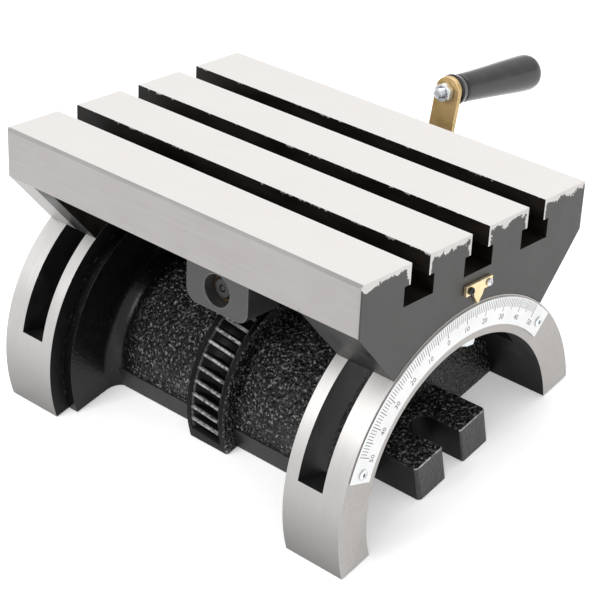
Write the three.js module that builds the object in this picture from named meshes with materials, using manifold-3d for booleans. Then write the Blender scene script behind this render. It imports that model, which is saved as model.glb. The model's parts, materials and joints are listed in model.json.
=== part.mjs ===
/**
 * Tilting T-slot table for a milling machine.
 *
 * A slotted table rides on two half-round arches of a base casting and is tilted about the X axis by a
 * worm that runs on teeth cut in the middle of the base. The frame is the base's own: origin on the
 * floor under the middle of the base, +X along the tilt axis towards the degree scale, +Y towards the
 * crank, +Z up. All sizes are millimetres.
 */
import * as THREE from "three";
import { mergeVertices } from "three/addons/utils/BufferGeometryUtils.js";
import Module from "manifold-3d";

const wasm = await Module();
wasm.setup();

// ---- driving sizes ---------------------------------------------------------------------------------
const table = { length: 254, width: 180, plate: 28, crown: 12.7, chamfer: 1.6, cheekFootAngle: 39.3 };
const slot = { pitch: 46.5, neckWidth: 14, neckDepth: 11.5, headWidth: 22.5, headDepth: 11 };
const arch = { outerR: 95, innerR: 74, width: 38, axisHeight: 6, halfAngle: 110 };
const archSlot = { inset: 13.5, width: 16.5, halfAngle: 65.5 };
const tiltAtRest = 14;

// ---- clearances ------------------------------------------------------------------------------------
const touchGap = 0.3;
const runGap = 0.08;
const screwGap = 0.3;
const overcut = 1;
table.top = arch.outerR + touchGap + table.crown + table.plate;

// ---- base casting ----------------------------------------------------------------------------------
const web = { thickness: 8, radius: 85.5, lap: 1 };
const drum = { radius: 53, fillet: 9, skirtHeight: 13, skirtHalfWidth: 53.8 };
const lug = { halfWidth: 29, height: 22, reach: 33.5, slotWidth: 14.5, slotDepth: 27, draft: 3 };
const toothModule = 2.4;
const wheel = { teeth: 50, halfWidth: 14.5, pressureAngle: 20, backlash: 0.38, exposed: 96, rim: 1 };
wheel.pitchR = toothModule * wheel.teeth / 2;
wheel.outerR = wheel.pitchR + 0.85 * toothModule;
wheel.rootClearance = 0.4;

// ---- worm and its bracket --------------------------------------------------------------------------
const worm = { pitchR: 13, addendum: 0.9 * toothModule, dedendum: 1.1 * toothModule, halfLength: 26 };
worm.axisHeight = wheel.pitchR + worm.pitchR;
worm.lead = Math.PI * toothModule;
worm.tipR = worm.pitchR + worm.addendum;
worm.rootR = worm.pitchR - worm.dedendum;
worm.throatGap = 0.55;
worm.shoulder = 2.5;
const bracket = { halfWidth: 23, halfLength: 55, bossInner: 30, bottomDrop: 13, overWorm: 3.54, corner: 8 };
const bracketScrew = { x: 17.5, y: 20, shankR: 2.5, headR: 4.4, headHeight: 5, reach: 9 };
const screwSocket = { radius: 2.4, depth: 3 };
const frontBush = { boreR: 9.3, shaftR: 6, start: -48, end: -31 };
const rearBush = { boreR: 11.5, shaftR: 8, start: 31, end: 54 };
const shaft = { frontEnd: -50.5, rearEnd: 133, crankSeat: 120.5, studR: 5, chamfer: 0.8 };
const collar = { outerR: 14, start: 57, width: 9 };

// ---- crank -----------------------------------------------------------------------------------------
const crank = { length: 67, width: 17, thickness: 3, lean: 5.7, turn: 3.2, hubFlat: 13 };
const hubWasher = { outerR: 9.5, thickness: 1.6 };
const hubNut = { acrossFlats: 16, thickness: 7 };
const grip = { length: 72, nearR: 8.4, farR: 10.9, neckR: 6.4, collarR: 9.4, collarWidth: 5, gap: 0.7 };
const spindle = { shankR: 4.02, studR: 3, headR: 6.5, headWidth: 3.5, headDepth: 4, stickOut: 4.5 };
const gripNut = { acrossFlats: 10, thickness: 5 };

// ---- locks, scale and pointer ----------------------------------------------------------------------
const lock = { angle: 15.5, studR: 5, into: 18, holeSpare: 1, stickOut: 4 };
const lockWasherSize = { outerR: 11.5, thickness: 2.5 };
const lockNutSize = { acrossFlats: 17, thickness: 9, threadGap: 0.28 };
const scale = { inset: 1.2, width: 15, halfAngle: 59, thickness: 0.9 };
const scaleRivet = { angle: 55.8, radius: 1.6, length: 5 };
const pointer = { halfWidth: 10.6, thickness: 2, screwR: 1.1, screwInset: 3.2, screwLength: 7, neck: 3.2 };

// ---- derived places --------------------------------------------------------------------------------
const endX = table.length / 2;
const innerX = endX - arch.width;
const plateBottom = table.top - table.plate;
const lockX = endX - archSlot.inset - archSlot.width / 2;
const bracketTop = plateBottom - touchGap;
const bracketRoof = worm.axisHeight + worm.tipR + bracket.overWorm;
scale.outerR = arch.outerR - scale.inset;
scale.middleR = scale.outerR - scale.width / 2;
pointer.tip = arch.outerR + 0.8;
pointer.shoulder = pointer.tip + 7.2;
pointer.top = pointer.shoulder + 5.6;
const toRad = THREE.MathUtils.degToRad;
const alongAxis = new THREE.Vector3(1, 0, 0);

/** How many straight pieces stand for a curve, by how large it is. */
const segments = { thread: 16, small: 16, bolt: 20, bore: 24, round: 32, slot: 32, scale: 36, turned: 64 };
const seatSegments = 96;

/** Colour, roughness and metalness of each surface. */
const finishes = {
  castBlack: new THREE.MeshStandardMaterial({ color: 0x1d1d1e, roughness: 0.55, metalness: 0.2 }),
  groundSteel: new THREE.MeshStandardMaterial({ color: 0xb9b6b2, roughness: 0.32, metalness: 0.9 }),
  greyPaint: new THREE.MeshStandardMaterial({ color: 0x4a4a4b, roughness: 0.5, metalness: 0.2 }),
  shaftSteel: new THREE.MeshStandardMaterial({ color: 0x8d8f90, roughness: 0.35, metalness: 0.9 }),
  darkSteel: new THREE.MeshStandardMaterial({ color: 0x3a3b3d, roughness: 0.4, metalness: 0.8 }),
  yellowZinc: new THREE.MeshStandardMaterial({ color: 0xb79a5a, roughness: 0.35, metalness: 0.9 }),
  brightZinc: new THREE.MeshStandardMaterial({ color: 0xc9cccf, roughness: 0.25, metalness: 0.9 }),
  bronze: new THREE.MeshStandardMaterial({ color: 0xa9834a, roughness: 0.35, metalness: 0.9 }),
  brass: new THREE.MeshStandardMaterial({ color: 0xc2a15c, roughness: 0.35, metalness: 0.9 }),
  whitePlate: new THREE.MeshStandardMaterial({ color: 0xe4e6e8, roughness: 0.4, metalness: 0.3 }),
  blackPlastic: new THREE.MeshStandardMaterial({ color: 0x171717, roughness: 0.4, metalness: 0 }),
};

// ---- solids ----------------------------------------------------------------------------------------

/** Turns a closed three.js geometry into a manifold solid. */
function solid(geometry) {
  const bare = new THREE.BufferGeometry();
  bare.setAttribute("position", geometry.getAttribute("position").clone());
  if (geometry.index) bare.setIndex(geometry.index.clone());
  const merged = mergeVertices(bare, 1e-5);
  return new wasm.Manifold(new wasm.Mesh({
    numProp: 3,
    vertProperties: new Float32Array(merged.attributes.position.array),
    triVerts: new Uint32Array(merged.index.array),
  }));
}

/** Turns a manifold solid back into a three.js geometry. */
function geometryOf(body) {
  const mesh = body.getMesh();
  const geometry = new THREE.BufferGeometry();
  geometry.setAttribute("position", new THREE.BufferAttribute(new Float32Array(mesh.vertProperties), 3));
  geometry.setIndex(new THREE.BufferAttribute(new Uint32Array(mesh.triVerts), 1));
  geometry.computeVertexNormals();
  return geometry;
}

/** Adds a list of solids together. */
function join(bodies) {
  return bodies.reduce((sum, body) => sum.add(body));
}

/** A box from its lowest corner to its highest corner. */
function block(low, high) {
  const geometry = new THREE.BoxGeometry(high[0] - low[0], high[1] - low[1], high[2] - low[2]);
  geometry.translate((low[0] + high[0]) / 2, (low[1] + high[1]) / 2, (low[2] + high[2]) / 2);
  return solid(geometry);
}

/** A solid of revolution about X; the outline is [x, radius] points from axis to axis. */
function turnedX(outline, count) {
  const points = outline.map(([x, radius]) => new THREE.Vector2(radius, x));
  const geometry = new THREE.LatheGeometry(points, count);
  geometry.rotateZ(-Math.PI / 2);
  return solid(geometry);
}

/** A solid of revolution about Y; the outline is [y, radius] points from axis to axis. */
function turnedY(outline, count) {
  const points = outline.map(([y, radius]) => new THREE.Vector2(radius, y));
  return solid(new THREE.LatheGeometry(points, count));
}

/** A solid of revolution about Z; the outline is [z, radius] points from axis to axis. */
function turnedZ(outline, count) {
  const points = outline.map(([z, radius]) => new THREE.Vector2(radius, z));
  const geometry = new THREE.LatheGeometry(points, count);
  geometry.rotateX(Math.PI / 2);
  return solid(geometry);
}

/** A closed outline of [a, b] points, as a three.js shape. */
function outlineShape(points) {
  return new THREE.Shape(points.map(([a, b]) => new THREE.Vector2(a, b)));
}

/** Extrudes an outline drawn in Y and Z from x = from to x = to. */
function alongX(shape, from, to, curveSegments = 12) {
  const settings = { depth: to - from, bevelEnabled: false, curveSegments };
  const geometry = new THREE.ExtrudeGeometry(shape, settings);
  geometry.applyMatrix4(new THREE.Matrix4().makeBasis(
    new THREE.Vector3(0, 1, 0), new THREE.Vector3(0, 0, 1), new THREE.Vector3(1, 0, 0)));
  geometry.translate(from, 0, 0);
  return solid(geometry);
}

/** Extrudes an outline drawn in X and Z from y = from to y = to. */
function alongY(shape, from, to, curveSegments = 12) {
  const settings = { depth: to - from, bevelEnabled: false, curveSegments };
  const geometry = new THREE.ExtrudeGeometry(shape, settings);
  geometry.rotateX(Math.PI / 2);
  geometry.translate(0, to, 0);
  return solid(geometry);
}

/** A plain round bar along Y. */
function barY(radius, from, to, count = segments.round) {
  return turnedY([[from, 0], [from, radius], [to, radius], [to, 0]], count);
}

/** A plain round bar along Z. */
function barZ(radius, from, to, count = segments.bore) {
  return turnedZ([[from, 0], [from, radius], [to, radius], [to, 0]], count);
}

/** A ring sector about the X axis, between two radii and within an angle each side of straight up. */
function ringSector(innerR, outerR, halfAngle, from, to, curveSegments = 48) {
  const shape = new THREE.Shape();
  const start = toRad(90 - halfAngle);
  const end = toRad(90 + halfAngle);
  shape.absarc(0, 0, outerR, start, end, false);
  shape.absarc(0, 0, innerR, end, start, true);
  return alongX(shape, from, to, curveSegments);
}

/** A hexagon nut along Z standing on z = 0, with a bore. */
function hexNut(acrossFlats, thickness, boreR) {
  const cornerR = acrossFlats / Math.sqrt(3);
  const hexagon = new THREE.CylinderGeometry(cornerR, cornerR, thickness, 6);
  hexagon.rotateX(Math.PI / 2);
  hexagon.translate(0, 0, thickness / 2);
  return solid(hexagon).subtract(barZ(boreR, -overcut, thickness + overcut, segments.bolt));
}

/** Moves a solid drawn along +Z so that it stands along a direction from a place. */
function stand(body, place, direction) {
  const up = new THREE.Vector3(0, 0, 1);
  const turn = new THREE.Quaternion().setFromUnitVectors(up, direction.clone().normalize());
  const matrix = new THREE.Matrix4().compose(place, turn, new THREE.Vector3(1, 1, 1));
  return body.transform(matrix.toArray());
}

/** A point at a radius from the tilt axis, at an angle from straight up towards +Y. */
function polar(x, radius, angle) {
  return new THREE.Vector3(x, radius * Math.sin(toRad(angle)), radius * Math.cos(toRad(angle)));
}

// ---- base casting ----------------------------------------------------------------------------------

/** One gap between two wheel teeth: an involute outline run along X with the worm's lead. */
function toothGap() {
  const baseR = wheel.pitchR * Math.cos(toRad(wheel.pressureAngle));
  const involute = (radius) => {
    const roll = Math.sqrt((radius / baseR) ** 2 - 1);
    return roll - Math.atan(roll);
  };
  const halfAtPitch = Math.PI / 2 / wheel.teeth + wheel.backlash / wheel.pitchR;
  const rootR = wheel.pitchR - worm.dedendum - wheel.rootClearance;
  const radii = [rootR, wheel.pitchR, wheel.outerR + 1.5 * overcut];
  const flank = radii.map((radius) => {
    const half = halfAtPitch + involute(Math.max(radius, baseR)) - involute(wheel.pitchR);
    return [radius * Math.sin(half), radius * Math.cos(half)];
  });
  const outline = [...flank, ...flank.map(([y, z]) => [-y, z]).reverse()];
  const depth = 2 * (wheel.halfWidth + overcut);
  const geometry = new THREE.ExtrudeGeometry(outlineShape(outline), { depth, bevelEnabled: false });
  geometry.applyMatrix4(new THREE.Matrix4().makeBasis(
    new THREE.Vector3(0, 1, 0), new THREE.Vector3(0, 0, 1), new THREE.Vector3(1, 0, 0)));
  geometry.translate(-depth / 2, 0, 0);
  const position = geometry.getAttribute("position");
  const leadSlope = worm.lead / (2 * Math.PI * worm.pitchR);
  for (let i = 0; i < position.count; i += 1) {
    const x = position.getX(i);
    const turn = x * leadSlope / wheel.pitchR;
    const y = position.getY(i);
    const z = position.getZ(i);
    position.setY(i, y * Math.cos(turn) - z * Math.sin(turn));
    position.setZ(i, y * Math.sin(turn) + z * Math.cos(turn));
  }
  return solid(geometry);
}

/** Turns the teeth so that a gap lies under the worm at rest. */
function gapOffset(stepAngle) {
  return -(tiltAtRest % stepAngle);
}

/** The toothed band round the middle of the drum, hollowed to the worm's throat. */
function toothedBand() {
  const blank = turnedX([[-wheel.halfWidth, 0], [-wheel.halfWidth, wheel.outerR - wheel.rim],
    [wheel.rim - wheel.halfWidth, wheel.outerR], [wheel.halfWidth - wheel.rim, wheel.outerR],
    [wheel.halfWidth, wheel.outerR - wheel.rim], [wheel.halfWidth, 0]], wheel.teeth);
  const throatR = worm.tipR + worm.throatGap;
  const throatPoints = [];
  const throatSteps = 14;
  for (let i = 0; i < throatSteps; i += 1) {
    const angle = 2 * Math.PI * i / throatSteps;
    const height = worm.axisHeight + throatR * Math.cos(angle);
    throatPoints.push(new THREE.Vector2(height, throatR * Math.sin(angle)));
  }
  throatPoints.push(throatPoints[0].clone());
  const throatGeometry = new THREE.LatheGeometry(throatPoints, wheel.teeth);
  throatGeometry.rotateZ(-Math.PI / 2);
  const throat = solid(throatGeometry);
  const gap = toothGap();
  const stepAngle = 360 / wheel.teeth;
  const gaps = [];
  const count = Math.floor(wheel.exposed / stepAngle);
  for (let i = -count; i <= count; i += 1) {
    gaps.push(gap.rotate([i * stepAngle + gapOffset(stepAngle), 0, 0]));
  }
  return blank.subtract(join(gaps).intersect(throat));
}

/** One arch with its clamp slot, side web and hold-down lug, for the +X end. */
function archEnd() {
  const ring = ringSector(arch.innerR, arch.outerR, arch.halfAngle, innerX, endX, segments.turned);
  const clampSlot = ringSector(arch.innerR - overcut, arch.outerR + overcut, archSlot.halfAngle,
    endX - archSlot.inset - archSlot.width, endX - archSlot.inset, segments.slot);
  const webOuter = innerX + web.lap;
  const webInner = webOuter - web.thickness;
  const fillet = [];
  const filletSteps = 4;
  for (let i = 0; i <= filletSteps; i += 1) {
    const angle = Math.PI / 2 * i / filletSteps;
    fillet.push([webInner - drum.fillet + drum.fillet * Math.sin(angle),
      drum.radius + drum.fillet - drum.fillet * Math.cos(angle)]);
  }
  const sideStart = webInner - drum.fillet - overcut;
  const side = turnedX([[sideStart, 0], [sideStart, drum.radius], ...fillet,
    [webInner, web.radius], [webOuter, web.radius], [webOuter, 0]], segments.turned);
  const lugEnd = webOuter + lug.reach;
  const top = lug.height - arch.axisHeight;
  const shoulder = lug.halfWidth - lug.draft / 3;
  const lugShape = outlineShape([[-lug.halfWidth, -arch.axisHeight], [lug.halfWidth, -arch.axisHeight],
    [shoulder, top - lug.draft], [lug.halfWidth - lug.draft, top],
    [lug.draft - lug.halfWidth, top], [-shoulder, top - lug.draft]]);
  const lugBody = alongX(lugShape, webOuter - web.thickness / 2, lugEnd);
  const slotStart = lugEnd - lug.slotDepth;
  const slotBottom = -arch.axisHeight - overcut;
  const mouth = block([slotStart + lug.slotWidth / 2, -lug.slotWidth / 2, slotBottom],
    [lugEnd + overcut, lug.slotWidth / 2, lug.height]);
  const round = barZ(lug.slotWidth / 2, slotBottom, lug.height)
    .translate([slotStart + lug.slotWidth / 2, 0, 0]);
  return ring.subtract(clampSlot).add(side).add(lugBody).subtract(mouth).subtract(round);
}

/** Where a rivet of the degree plate goes in, on the end face of the arch. */
function rivetPlace(side) {
  return polar(endX, scale.middleR, side * scaleRivet.angle);
}

/** The holes for both rivets, through the plate and into the arch. */
function rivetHoles() {
  const depth = scaleRivet.length + overcut;
  const through = scale.thickness + touchGap + overcut;
  const hole = barZ(scaleRivet.radius + screwGap, -depth, through, segments.small);
  return join([-1, 1].map((side) => stand(hole, rivetPlace(side), alongAxis)));
}

/** The white degree plate on the end face of the +X arch. */
function degreePlate() {
  const start = endX + touchGap;
  const end = start + scale.thickness;
  const innerR = scale.outerR - scale.width;
  const ring = ringSector(innerR, scale.outerR, scale.halfAngle, start, end, segments.scale);
  return ring.subtract(rivetHoles());
}

/** The whole base casting, standing on z = 0. */
function baseCasting() {
  const rightEnd = archEnd();
  const leftEnd = rightEnd.rotate([0, 0, 180]);
  const inside = innerX - web.thickness;
  const barrel = turnedX([[-inside, 0], [-inside, drum.radius], [inside, drum.radius], [inside, 0]],
    segments.turned);
  const skirt = block([-inside, -drum.skirtHalfWidth, -arch.axisHeight - overcut],
    [inside, drum.skirtHalfWidth, drum.skirtHeight - arch.axisHeight]);
  const body = join([barrel, skirt, toothedBand(), rightEnd, leftEnd]);
  const room = table.length + 2 * arch.outerR;
  const below = block([-room, -room, -room], [room, room, -arch.axisHeight]);
  return body.subtract(below).subtract(rivetHoles()).translate([0, 0, arch.axisHeight]);
}

// ---- table -----------------------------------------------------------------------------------------

/** The slotted plate outline in Y and Z, with three T-slots open at the top. */
function plateShape() {
  const halfWidth = table.width / 2;
  const points = [[-halfWidth, plateBottom], [halfWidth, plateBottom],
    [halfWidth, table.top - table.chamfer],
    [halfWidth - table.chamfer, table.top]];
  for (const centre of [slot.pitch, 0, -slot.pitch]) {
    const neck = slot.neckWidth / 2;
    const head = slot.headWidth / 2;
    const neckBottom = table.top - slot.neckDepth;
    const headBottom = neckBottom - slot.headDepth;
    points.push([centre + neck, table.top], [centre + neck, neckBottom], [centre + head, neckBottom],
      [centre + head, headBottom], [centre - head, headBottom], [centre - head, neckBottom],
      [centre - neck, neckBottom], [centre - neck, table.top]);
  }
  points.push([table.chamfer - halfWidth, table.top], [-halfWidth, table.top - table.chamfer]);
  return outlineShape(points);
}

/** One cheek under the plate: a wedge with a round seat that rides on the arch. */
function cheek(side) {
  const seatR = arch.outerR + touchGap;
  const half = table.width / 2;
  const lapTop = plateBottom + overcut;
  const footY = seatR * Math.sin(toRad(table.cheekFootAngle));
  const footZ = seatR * Math.cos(toRad(table.cheekFootAngle));
  const wedge = outlineShape([[-half, lapTop], [-half, plateBottom], [-footY, footZ], [footY, footZ],
    [half, plateBottom], [half, lapTop]]);
  const low = side > 0 ? innerX : -endX;
  const high = low + arch.width;
  const seat = turnedX([[low - overcut, 0], [low - overcut, seatR], [high + overcut, seatR],
    [high + overcut, 0]], seatSegments);
  return alongX(wedge, low, high).subtract(seat);
}

/** The four places where a stud holds the table down through an arch slot. */
function lockPlaces() {
  const places = [];
  for (const side of [-1, 1]) {
    for (const hand of [-1, 1]) {
      const name = `${side < 0 ? "left" : "right"}_${hand < 0 ? "near" : "far"}`;
      places.push({ x: side * lockX, angle: hand * lock.angle, name });
    }
  }
  return places;
}

/** The four places of the bracket's screws on the plate's underside. */
function bracketScrewPlaces() {
  const { x, y } = bracketScrew;
  return [[-x, -y], [x, -y], [-x, y], [x, y]];
}

/** The whole table casting in its own level frame, with the tilt axis on z = 0. */
function tableCasting() {
  let body = alongX(plateShape(), -endX, endX).add(cheek(1)).add(cheek(-1));
  for (const place of lockPlaces()) {
    const holeTop = arch.outerR + lock.into + lock.holeSpare;
    body = body.subtract(atLock(barZ(lock.studR + touchGap, arch.innerR, holeTop), place));
  }
  for (const [x, y] of bracketScrewPlaces()) {
    const holeTop = plateBottom + bracketScrew.reach + overcut / 2;
    const hole = barZ(bracketScrew.shankR + screwGap, plateBottom - overcut, holeTop, segments.small);
    body = body.subtract(hole.translate([x, y, 0]));
  }
  return body.subtract(pointerScrewHoles());
}

/** Where a pointer screw stands on the table's end face. */
function pointerScrewPlace(side) {
  const y = side * (pointer.halfWidth - pointer.screwInset);
  return new THREE.Vector3(endX, y, (pointer.top + pointer.shoulder) / 2);
}

/** The holes for the pointer's screws, through the plate and into the table. */
function pointerScrewHoles() {
  const depth = pointer.screwLength + overcut;
  const through = pointer.thickness + touchGap + overcut;
  const hole = barZ(pointer.screwR + screwGap, -depth, through, segments.small);
  return join([-1, 1].map((side) => stand(hole, pointerScrewPlace(side), alongAxis)));
}

/** The brass pointer plate with its tip over the scale. */
function pointerPlate() {
  const { neck, tip, shoulder, halfWidth, top } = pointer;
  const throat = shoulder - 2.5;
  const shape = outlineShape([[0, tip], [neck, throat], [neck + 1, shoulder], [halfWidth, shoulder],
    [halfWidth, top], [-halfWidth, top], [-halfWidth, shoulder], [-neck - 1, shoulder], [-neck, throat]]);
  const start = endX + touchGap;
  return alongX(shape, start, start + pointer.thickness).subtract(pointerScrewHoles());
}

/** A small screw or rivet with a domed head, drawn along +Z with the seat at z = 0. */
function domedPin(shankR, shankLength, headR, headHeight) {
  const outline = [[-shankLength, 0], [-shankLength, shankR], [0, shankR], [0, headR],
    [headHeight * 0.45, headR], [headHeight * 0.85, headR * 0.65], [headHeight, 0]];
  return turnedZ(outline, segments.small);
}

// ---- worm bracket and shaft ------------------------------------------------------------------------

/** The bracket that carries the worm: two bosses hanging from a bolted pad. */
function wormBracket() {
  const { halfWidth, halfLength, bossInner, corner } = bracket;
  const low = worm.axisHeight - bracket.bottomDrop;
  const shape = new THREE.Shape();
  shape.moveTo(corner - halfWidth, low);
  shape.lineTo(halfWidth - corner, low);
  shape.absarc(halfWidth - corner, low + corner, corner, -Math.PI / 2, 0, false);
  shape.lineTo(halfWidth, bracketTop);
  shape.lineTo(-halfWidth, bracketTop);
  shape.absarc(corner - halfWidth, low + corner, corner, Math.PI, Math.PI * 1.5, false);
  let body = alongY(shape, -halfLength, halfLength, 6);
  const wide = halfWidth + overcut;
  body = body.subtract(block([-wide, -bossInner, low - overcut], [wide, bossInner, bracketRoof]));
  const frontBore = barY(frontBush.boreR, -halfLength - overcut, overcut - bossInner);
  const rearBore = barY(rearBush.boreR, bossInner - overcut, halfLength + overcut);
  body = body.subtract(frontBore.add(rearBore).translate([0, 0, worm.axisHeight]));
  for (const [x, y] of bracketScrewPlaces()) {
    const boreR = bracketScrew.shankR + screwGap;
    const hole = barZ(boreR, bracketRoof - overcut, bracketTop + overcut, segments.small);
    body = body.subtract(hole.translate([x, y, 0]));
  }
  return body;
}

/** A plain bearing bush round the worm shaft. */
function bush(sizes) {
  const outer = barY(sizes.boreR - touchGap, sizes.start, sizes.end);
  const inner = barY(sizes.shaftR + runGap, sizes.start - overcut, sizes.end + overcut);
  return outer.subtract(inner).translate([0, 0, worm.axisHeight]);
}

/** The worm's thread: a trapezoid run round a helix that passes the wheel at the pitch line. */
function wormThread() {
  const slope = Math.tan(toRad(wheel.pressureAngle));
  const quarter = worm.lead / 4;
  const sunk = worm.rootR - overcut / 2;
  const crest = quarter - slope * worm.addendum;
  const foot = quarter + slope * worm.dedendum;
  const profile = outlineShape([[-foot, sunk], [foot, sunk], [foot, worm.rootR], [crest, worm.tipR],
    [-crest, worm.tipR], [-foot, worm.rootR]]);
  const turns = 2 * worm.halfLength / worm.lead + 1;
  const stepsPerTurn = segments.thread;
  const steps = Math.round(turns * stepsPerTurn);
  const geometry = new THREE.ExtrudeGeometry(profile, { depth: 1, steps, bevelEnabled: false });
  const position = geometry.getAttribute("position");
  const sweep = 2 * Math.PI * steps / stepsPerTurn;
  for (let i = 0; i < position.count; i += 1) {
    const axial = position.getX(i);
    const radius = position.getY(i);
    const angle = (position.getZ(i) - 0.5) * sweep;
    const climb = worm.lead * angle / (2 * Math.PI);
    position.setXYZ(i, radius * Math.sin(angle), axial - climb, -radius * Math.cos(angle));
  }
  const thread = solid(geometry);
  return thread.intersect(barY(worm.tipR + overcut, -worm.halfLength, worm.halfLength, segments.small));
}

/** The worm shaft: front journal, worm, rear journal and the stepped end for the crank. */
function wormShaft() {
  const { frontEnd, rearEnd, crankSeat, studR, chamfer } = shaft;
  const coreEnd = worm.halfLength + worm.shoulder;
  const core = barY(worm.rootR, -coreEnd, coreEnd, segments.thread);
  const outline = [[frontEnd, 0], [frontEnd, frontBush.shaftR - chamfer],
    [frontEnd + chamfer, frontBush.shaftR], [0, frontBush.shaftR], [0, rearBush.shaftR],
    [crankSeat, rearBush.shaftR], [crankSeat, studR],
    [rearEnd - chamfer, studR], [rearEnd, studR - chamfer], [rearEnd, 0]];
  return turnedY(outline, segments.round).add(core).add(wormThread()).translate([0, 0, worm.axisHeight]);
}

/** The thrust collar behind the rear boss. */
function thrustCollar() {
  const end = collar.start + collar.width;
  const bore = barY(rearBush.shaftR + touchGap, collar.start - overcut, end + overcut);
  return barY(collar.outerR, collar.start, end).subtract(bore).translate([0, 0, worm.axisHeight]);
}

// ---- crank -----------------------------------------------------------------------------------------

/** Brings a crank piece drawn about the hub, arm straight up, to its place on the shaft. */
function onCrank(body) {
  return body.rotate([0, crank.turn, 0]).translate([0, 0, worm.axisHeight]);
}

const hubFace = shaft.crankSeat + touchGap;
const leanTan = Math.tan(toRad(crank.lean));
const gripFoot = hubFace + (crank.length - crank.hubFlat) * leanTan;
const gripAxis = new THREE.Vector3(0, Math.cos(toRad(crank.lean)), -Math.sin(toRad(crank.lean)));

/** The crank arm: a bent strip with round ends, flat at the hub and leaning out to the grip. */
function crankArm() {
  const half = crank.width / 2;
  const outline = new THREE.Shape();
  outline.absarc(0, 0, half, Math.PI, 2 * Math.PI, false);
  outline.absarc(0, crank.length, half, 0, Math.PI, false);
  const wide = half + overcut;
  const reach = crank.length + wide;
  const far = hubFace + (reach - crank.hubFlat) * leanTan;
  const strip = alongY(outline, hubFace - overcut, far + crank.thickness + overcut, 14);
  const side = outlineShape([[hubFace, -wide], [hubFace + crank.thickness, -wide],
    [hubFace + crank.thickness, crank.hubFlat], [far + crank.thickness, reach], [far, reach],
    [hubFace, crank.hubFlat]]);
  const bent = alongX(side, -wide, wide);
  const holeEnd = hubFace + crank.thickness + overcut;
  const hubHole = barY(shaft.studR + touchGap, hubFace - overcut, holeEnd, segments.bore);
  const gripHoleEnd = crank.thickness + overcut;
  const gripHole = onGrip(barZ(spindle.studR + screwGap, -overcut, gripHoleEnd, segments.bore));
  return strip.intersect(bent).subtract(hubHole).subtract(gripHole);
}

/** Stands a piece drawn along +Z on the grip's axis, with z = 0 on the arm's near face. */
function onGrip(body) {
  return stand(body, new THREE.Vector3(0, gripFoot, crank.length), gripAxis);
}

/** Where the grip starts, ends and makes room for the spindle's head, along its axis. */
function gripSpan() {
  const start = crank.thickness + grip.collarWidth + 2 * grip.gap;
  const end = start + grip.length;
  return { start, end, headSeat: end - spindle.headWidth - spindle.headDepth };
}

/** The tapered grip with its domed end and a hole for the spindle's head. */
function gripHandle() {
  const { start, end, headSeat } = gripSpan();
  const { nearR, farR, neckR, length } = grip;
  const outline = [[start, 0], [start, neckR], [start + 2, nearR], [start + 0.3 * length, nearR + 0.5],
    [start + 0.65 * length, farR - 0.6], [end - 8, farR], [end - 2.5, farR - 0.7],
    [end - 0.6, farR - 2.4], [end, farR - 3.6], [end, 0]];
  const bore = barZ(spindle.shankR + runGap, start - overcut, headSeat + overcut, segments.bore);
  const recess = barZ(spindle.headR + touchGap, headSeat, end + overcut, segments.bore);
  return turnedZ(outline, segments.round).subtract(bore).subtract(recess);
}

/** The spindle the grip turns on, riveted head outwards and threaded end through the arm. */
function gripSpindle() {
  const { shankR, studR, headR, headWidth, stickOut } = spindle;
  const start = crank.thickness + touchGap;
  const studEnd = -gripNut.thickness - stickOut;
  const seat = gripSpan().headSeat + touchGap;
  return turnedZ([[studEnd, 0], [studEnd, studR - 0.5], [studEnd + 0.5, studR], [start, studR],
    [start, shankR], [seat, shankR], [seat, headR], [seat + headWidth, headR], [seat + headWidth, 0]],
  segments.bore);
}

/** The fixed collar between the arm and the grip. */
function gripCollar() {
  const start = crank.thickness + grip.gap;
  const end = start + grip.collarWidth;
  const bore = barZ(spindle.shankR + touchGap, start - overcut, end + overcut, segments.small);
  return turnedZ([[start, 0], [start, grip.collarR - 1.2], [start + 1.2, grip.collarR],
    [end, grip.collarR - 0.8], [end, 0]], segments.bore).subtract(bore);
}

// ---- locks -----------------------------------------------------------------------------------------

/** Places a lock piece drawn at straight up round to its stud, in the table's frame. */
function atLock(body, place) {
  return body.rotate([-place.angle, 0, 0]).translate([place.x, 0, 0]);
}

/** The highest that a flat washer reaches while its rim stays clear of the arch's round inside. */
const washerFace = Math.sqrt(arch.innerR ** 2 - lockWasherSize.outerR ** 2) - touchGap;
const lockNutTop = washerFace - lockWasherSize.thickness - touchGap;

/** A lock stud pointing down from the table's seat through the arch slot. */
function lockStud() {
  const lowEnd = lockNutTop - lockNutSize.thickness - lock.stickOut;
  return barZ(lock.studR, lowEnd, arch.outerR + lock.into, segments.bolt);
}

/** The flat washer under a lock nut, sized to sit just inside the arch. */
function lockWasher() {
  const hole = barZ(lock.studR + touchGap, 0, arch.outerR, segments.bolt);
  return barZ(lockWasherSize.outerR, washerFace - lockWasherSize.thickness, washerFace).subtract(hole);
}

/** The nut below the washer. */
function lockNut() {
  return hexNut(lockNutSize.acrossFlats, lockNutSize.thickness, lock.studR + lockNutSize.threadGap)
    .translate([0, 0, lockNutTop - lockNutSize.thickness]);
}

// ---- assembly --------------------------------------------------------------------------------------

const assembly = new THREE.Group();
assembly.name = "tilting_table";
const toTilted = new THREE.Matrix4().makeRotationX(toRad(-tiltAtRest)).setPosition(0, 0, arch.axisHeight);

/** Adds one named piece; a piece drawn in the table's level frame is turned to the tilt at rest. */
function addPiece(name, body, finish, tilted) {
  const geometry = geometryOf(body);
  if (tilted) geometry.applyMatrix4(toTilted);
  const mesh = new THREE.Mesh(geometry, finish.clone());
  mesh.name = name;
  assembly.add(mesh);
}

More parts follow.
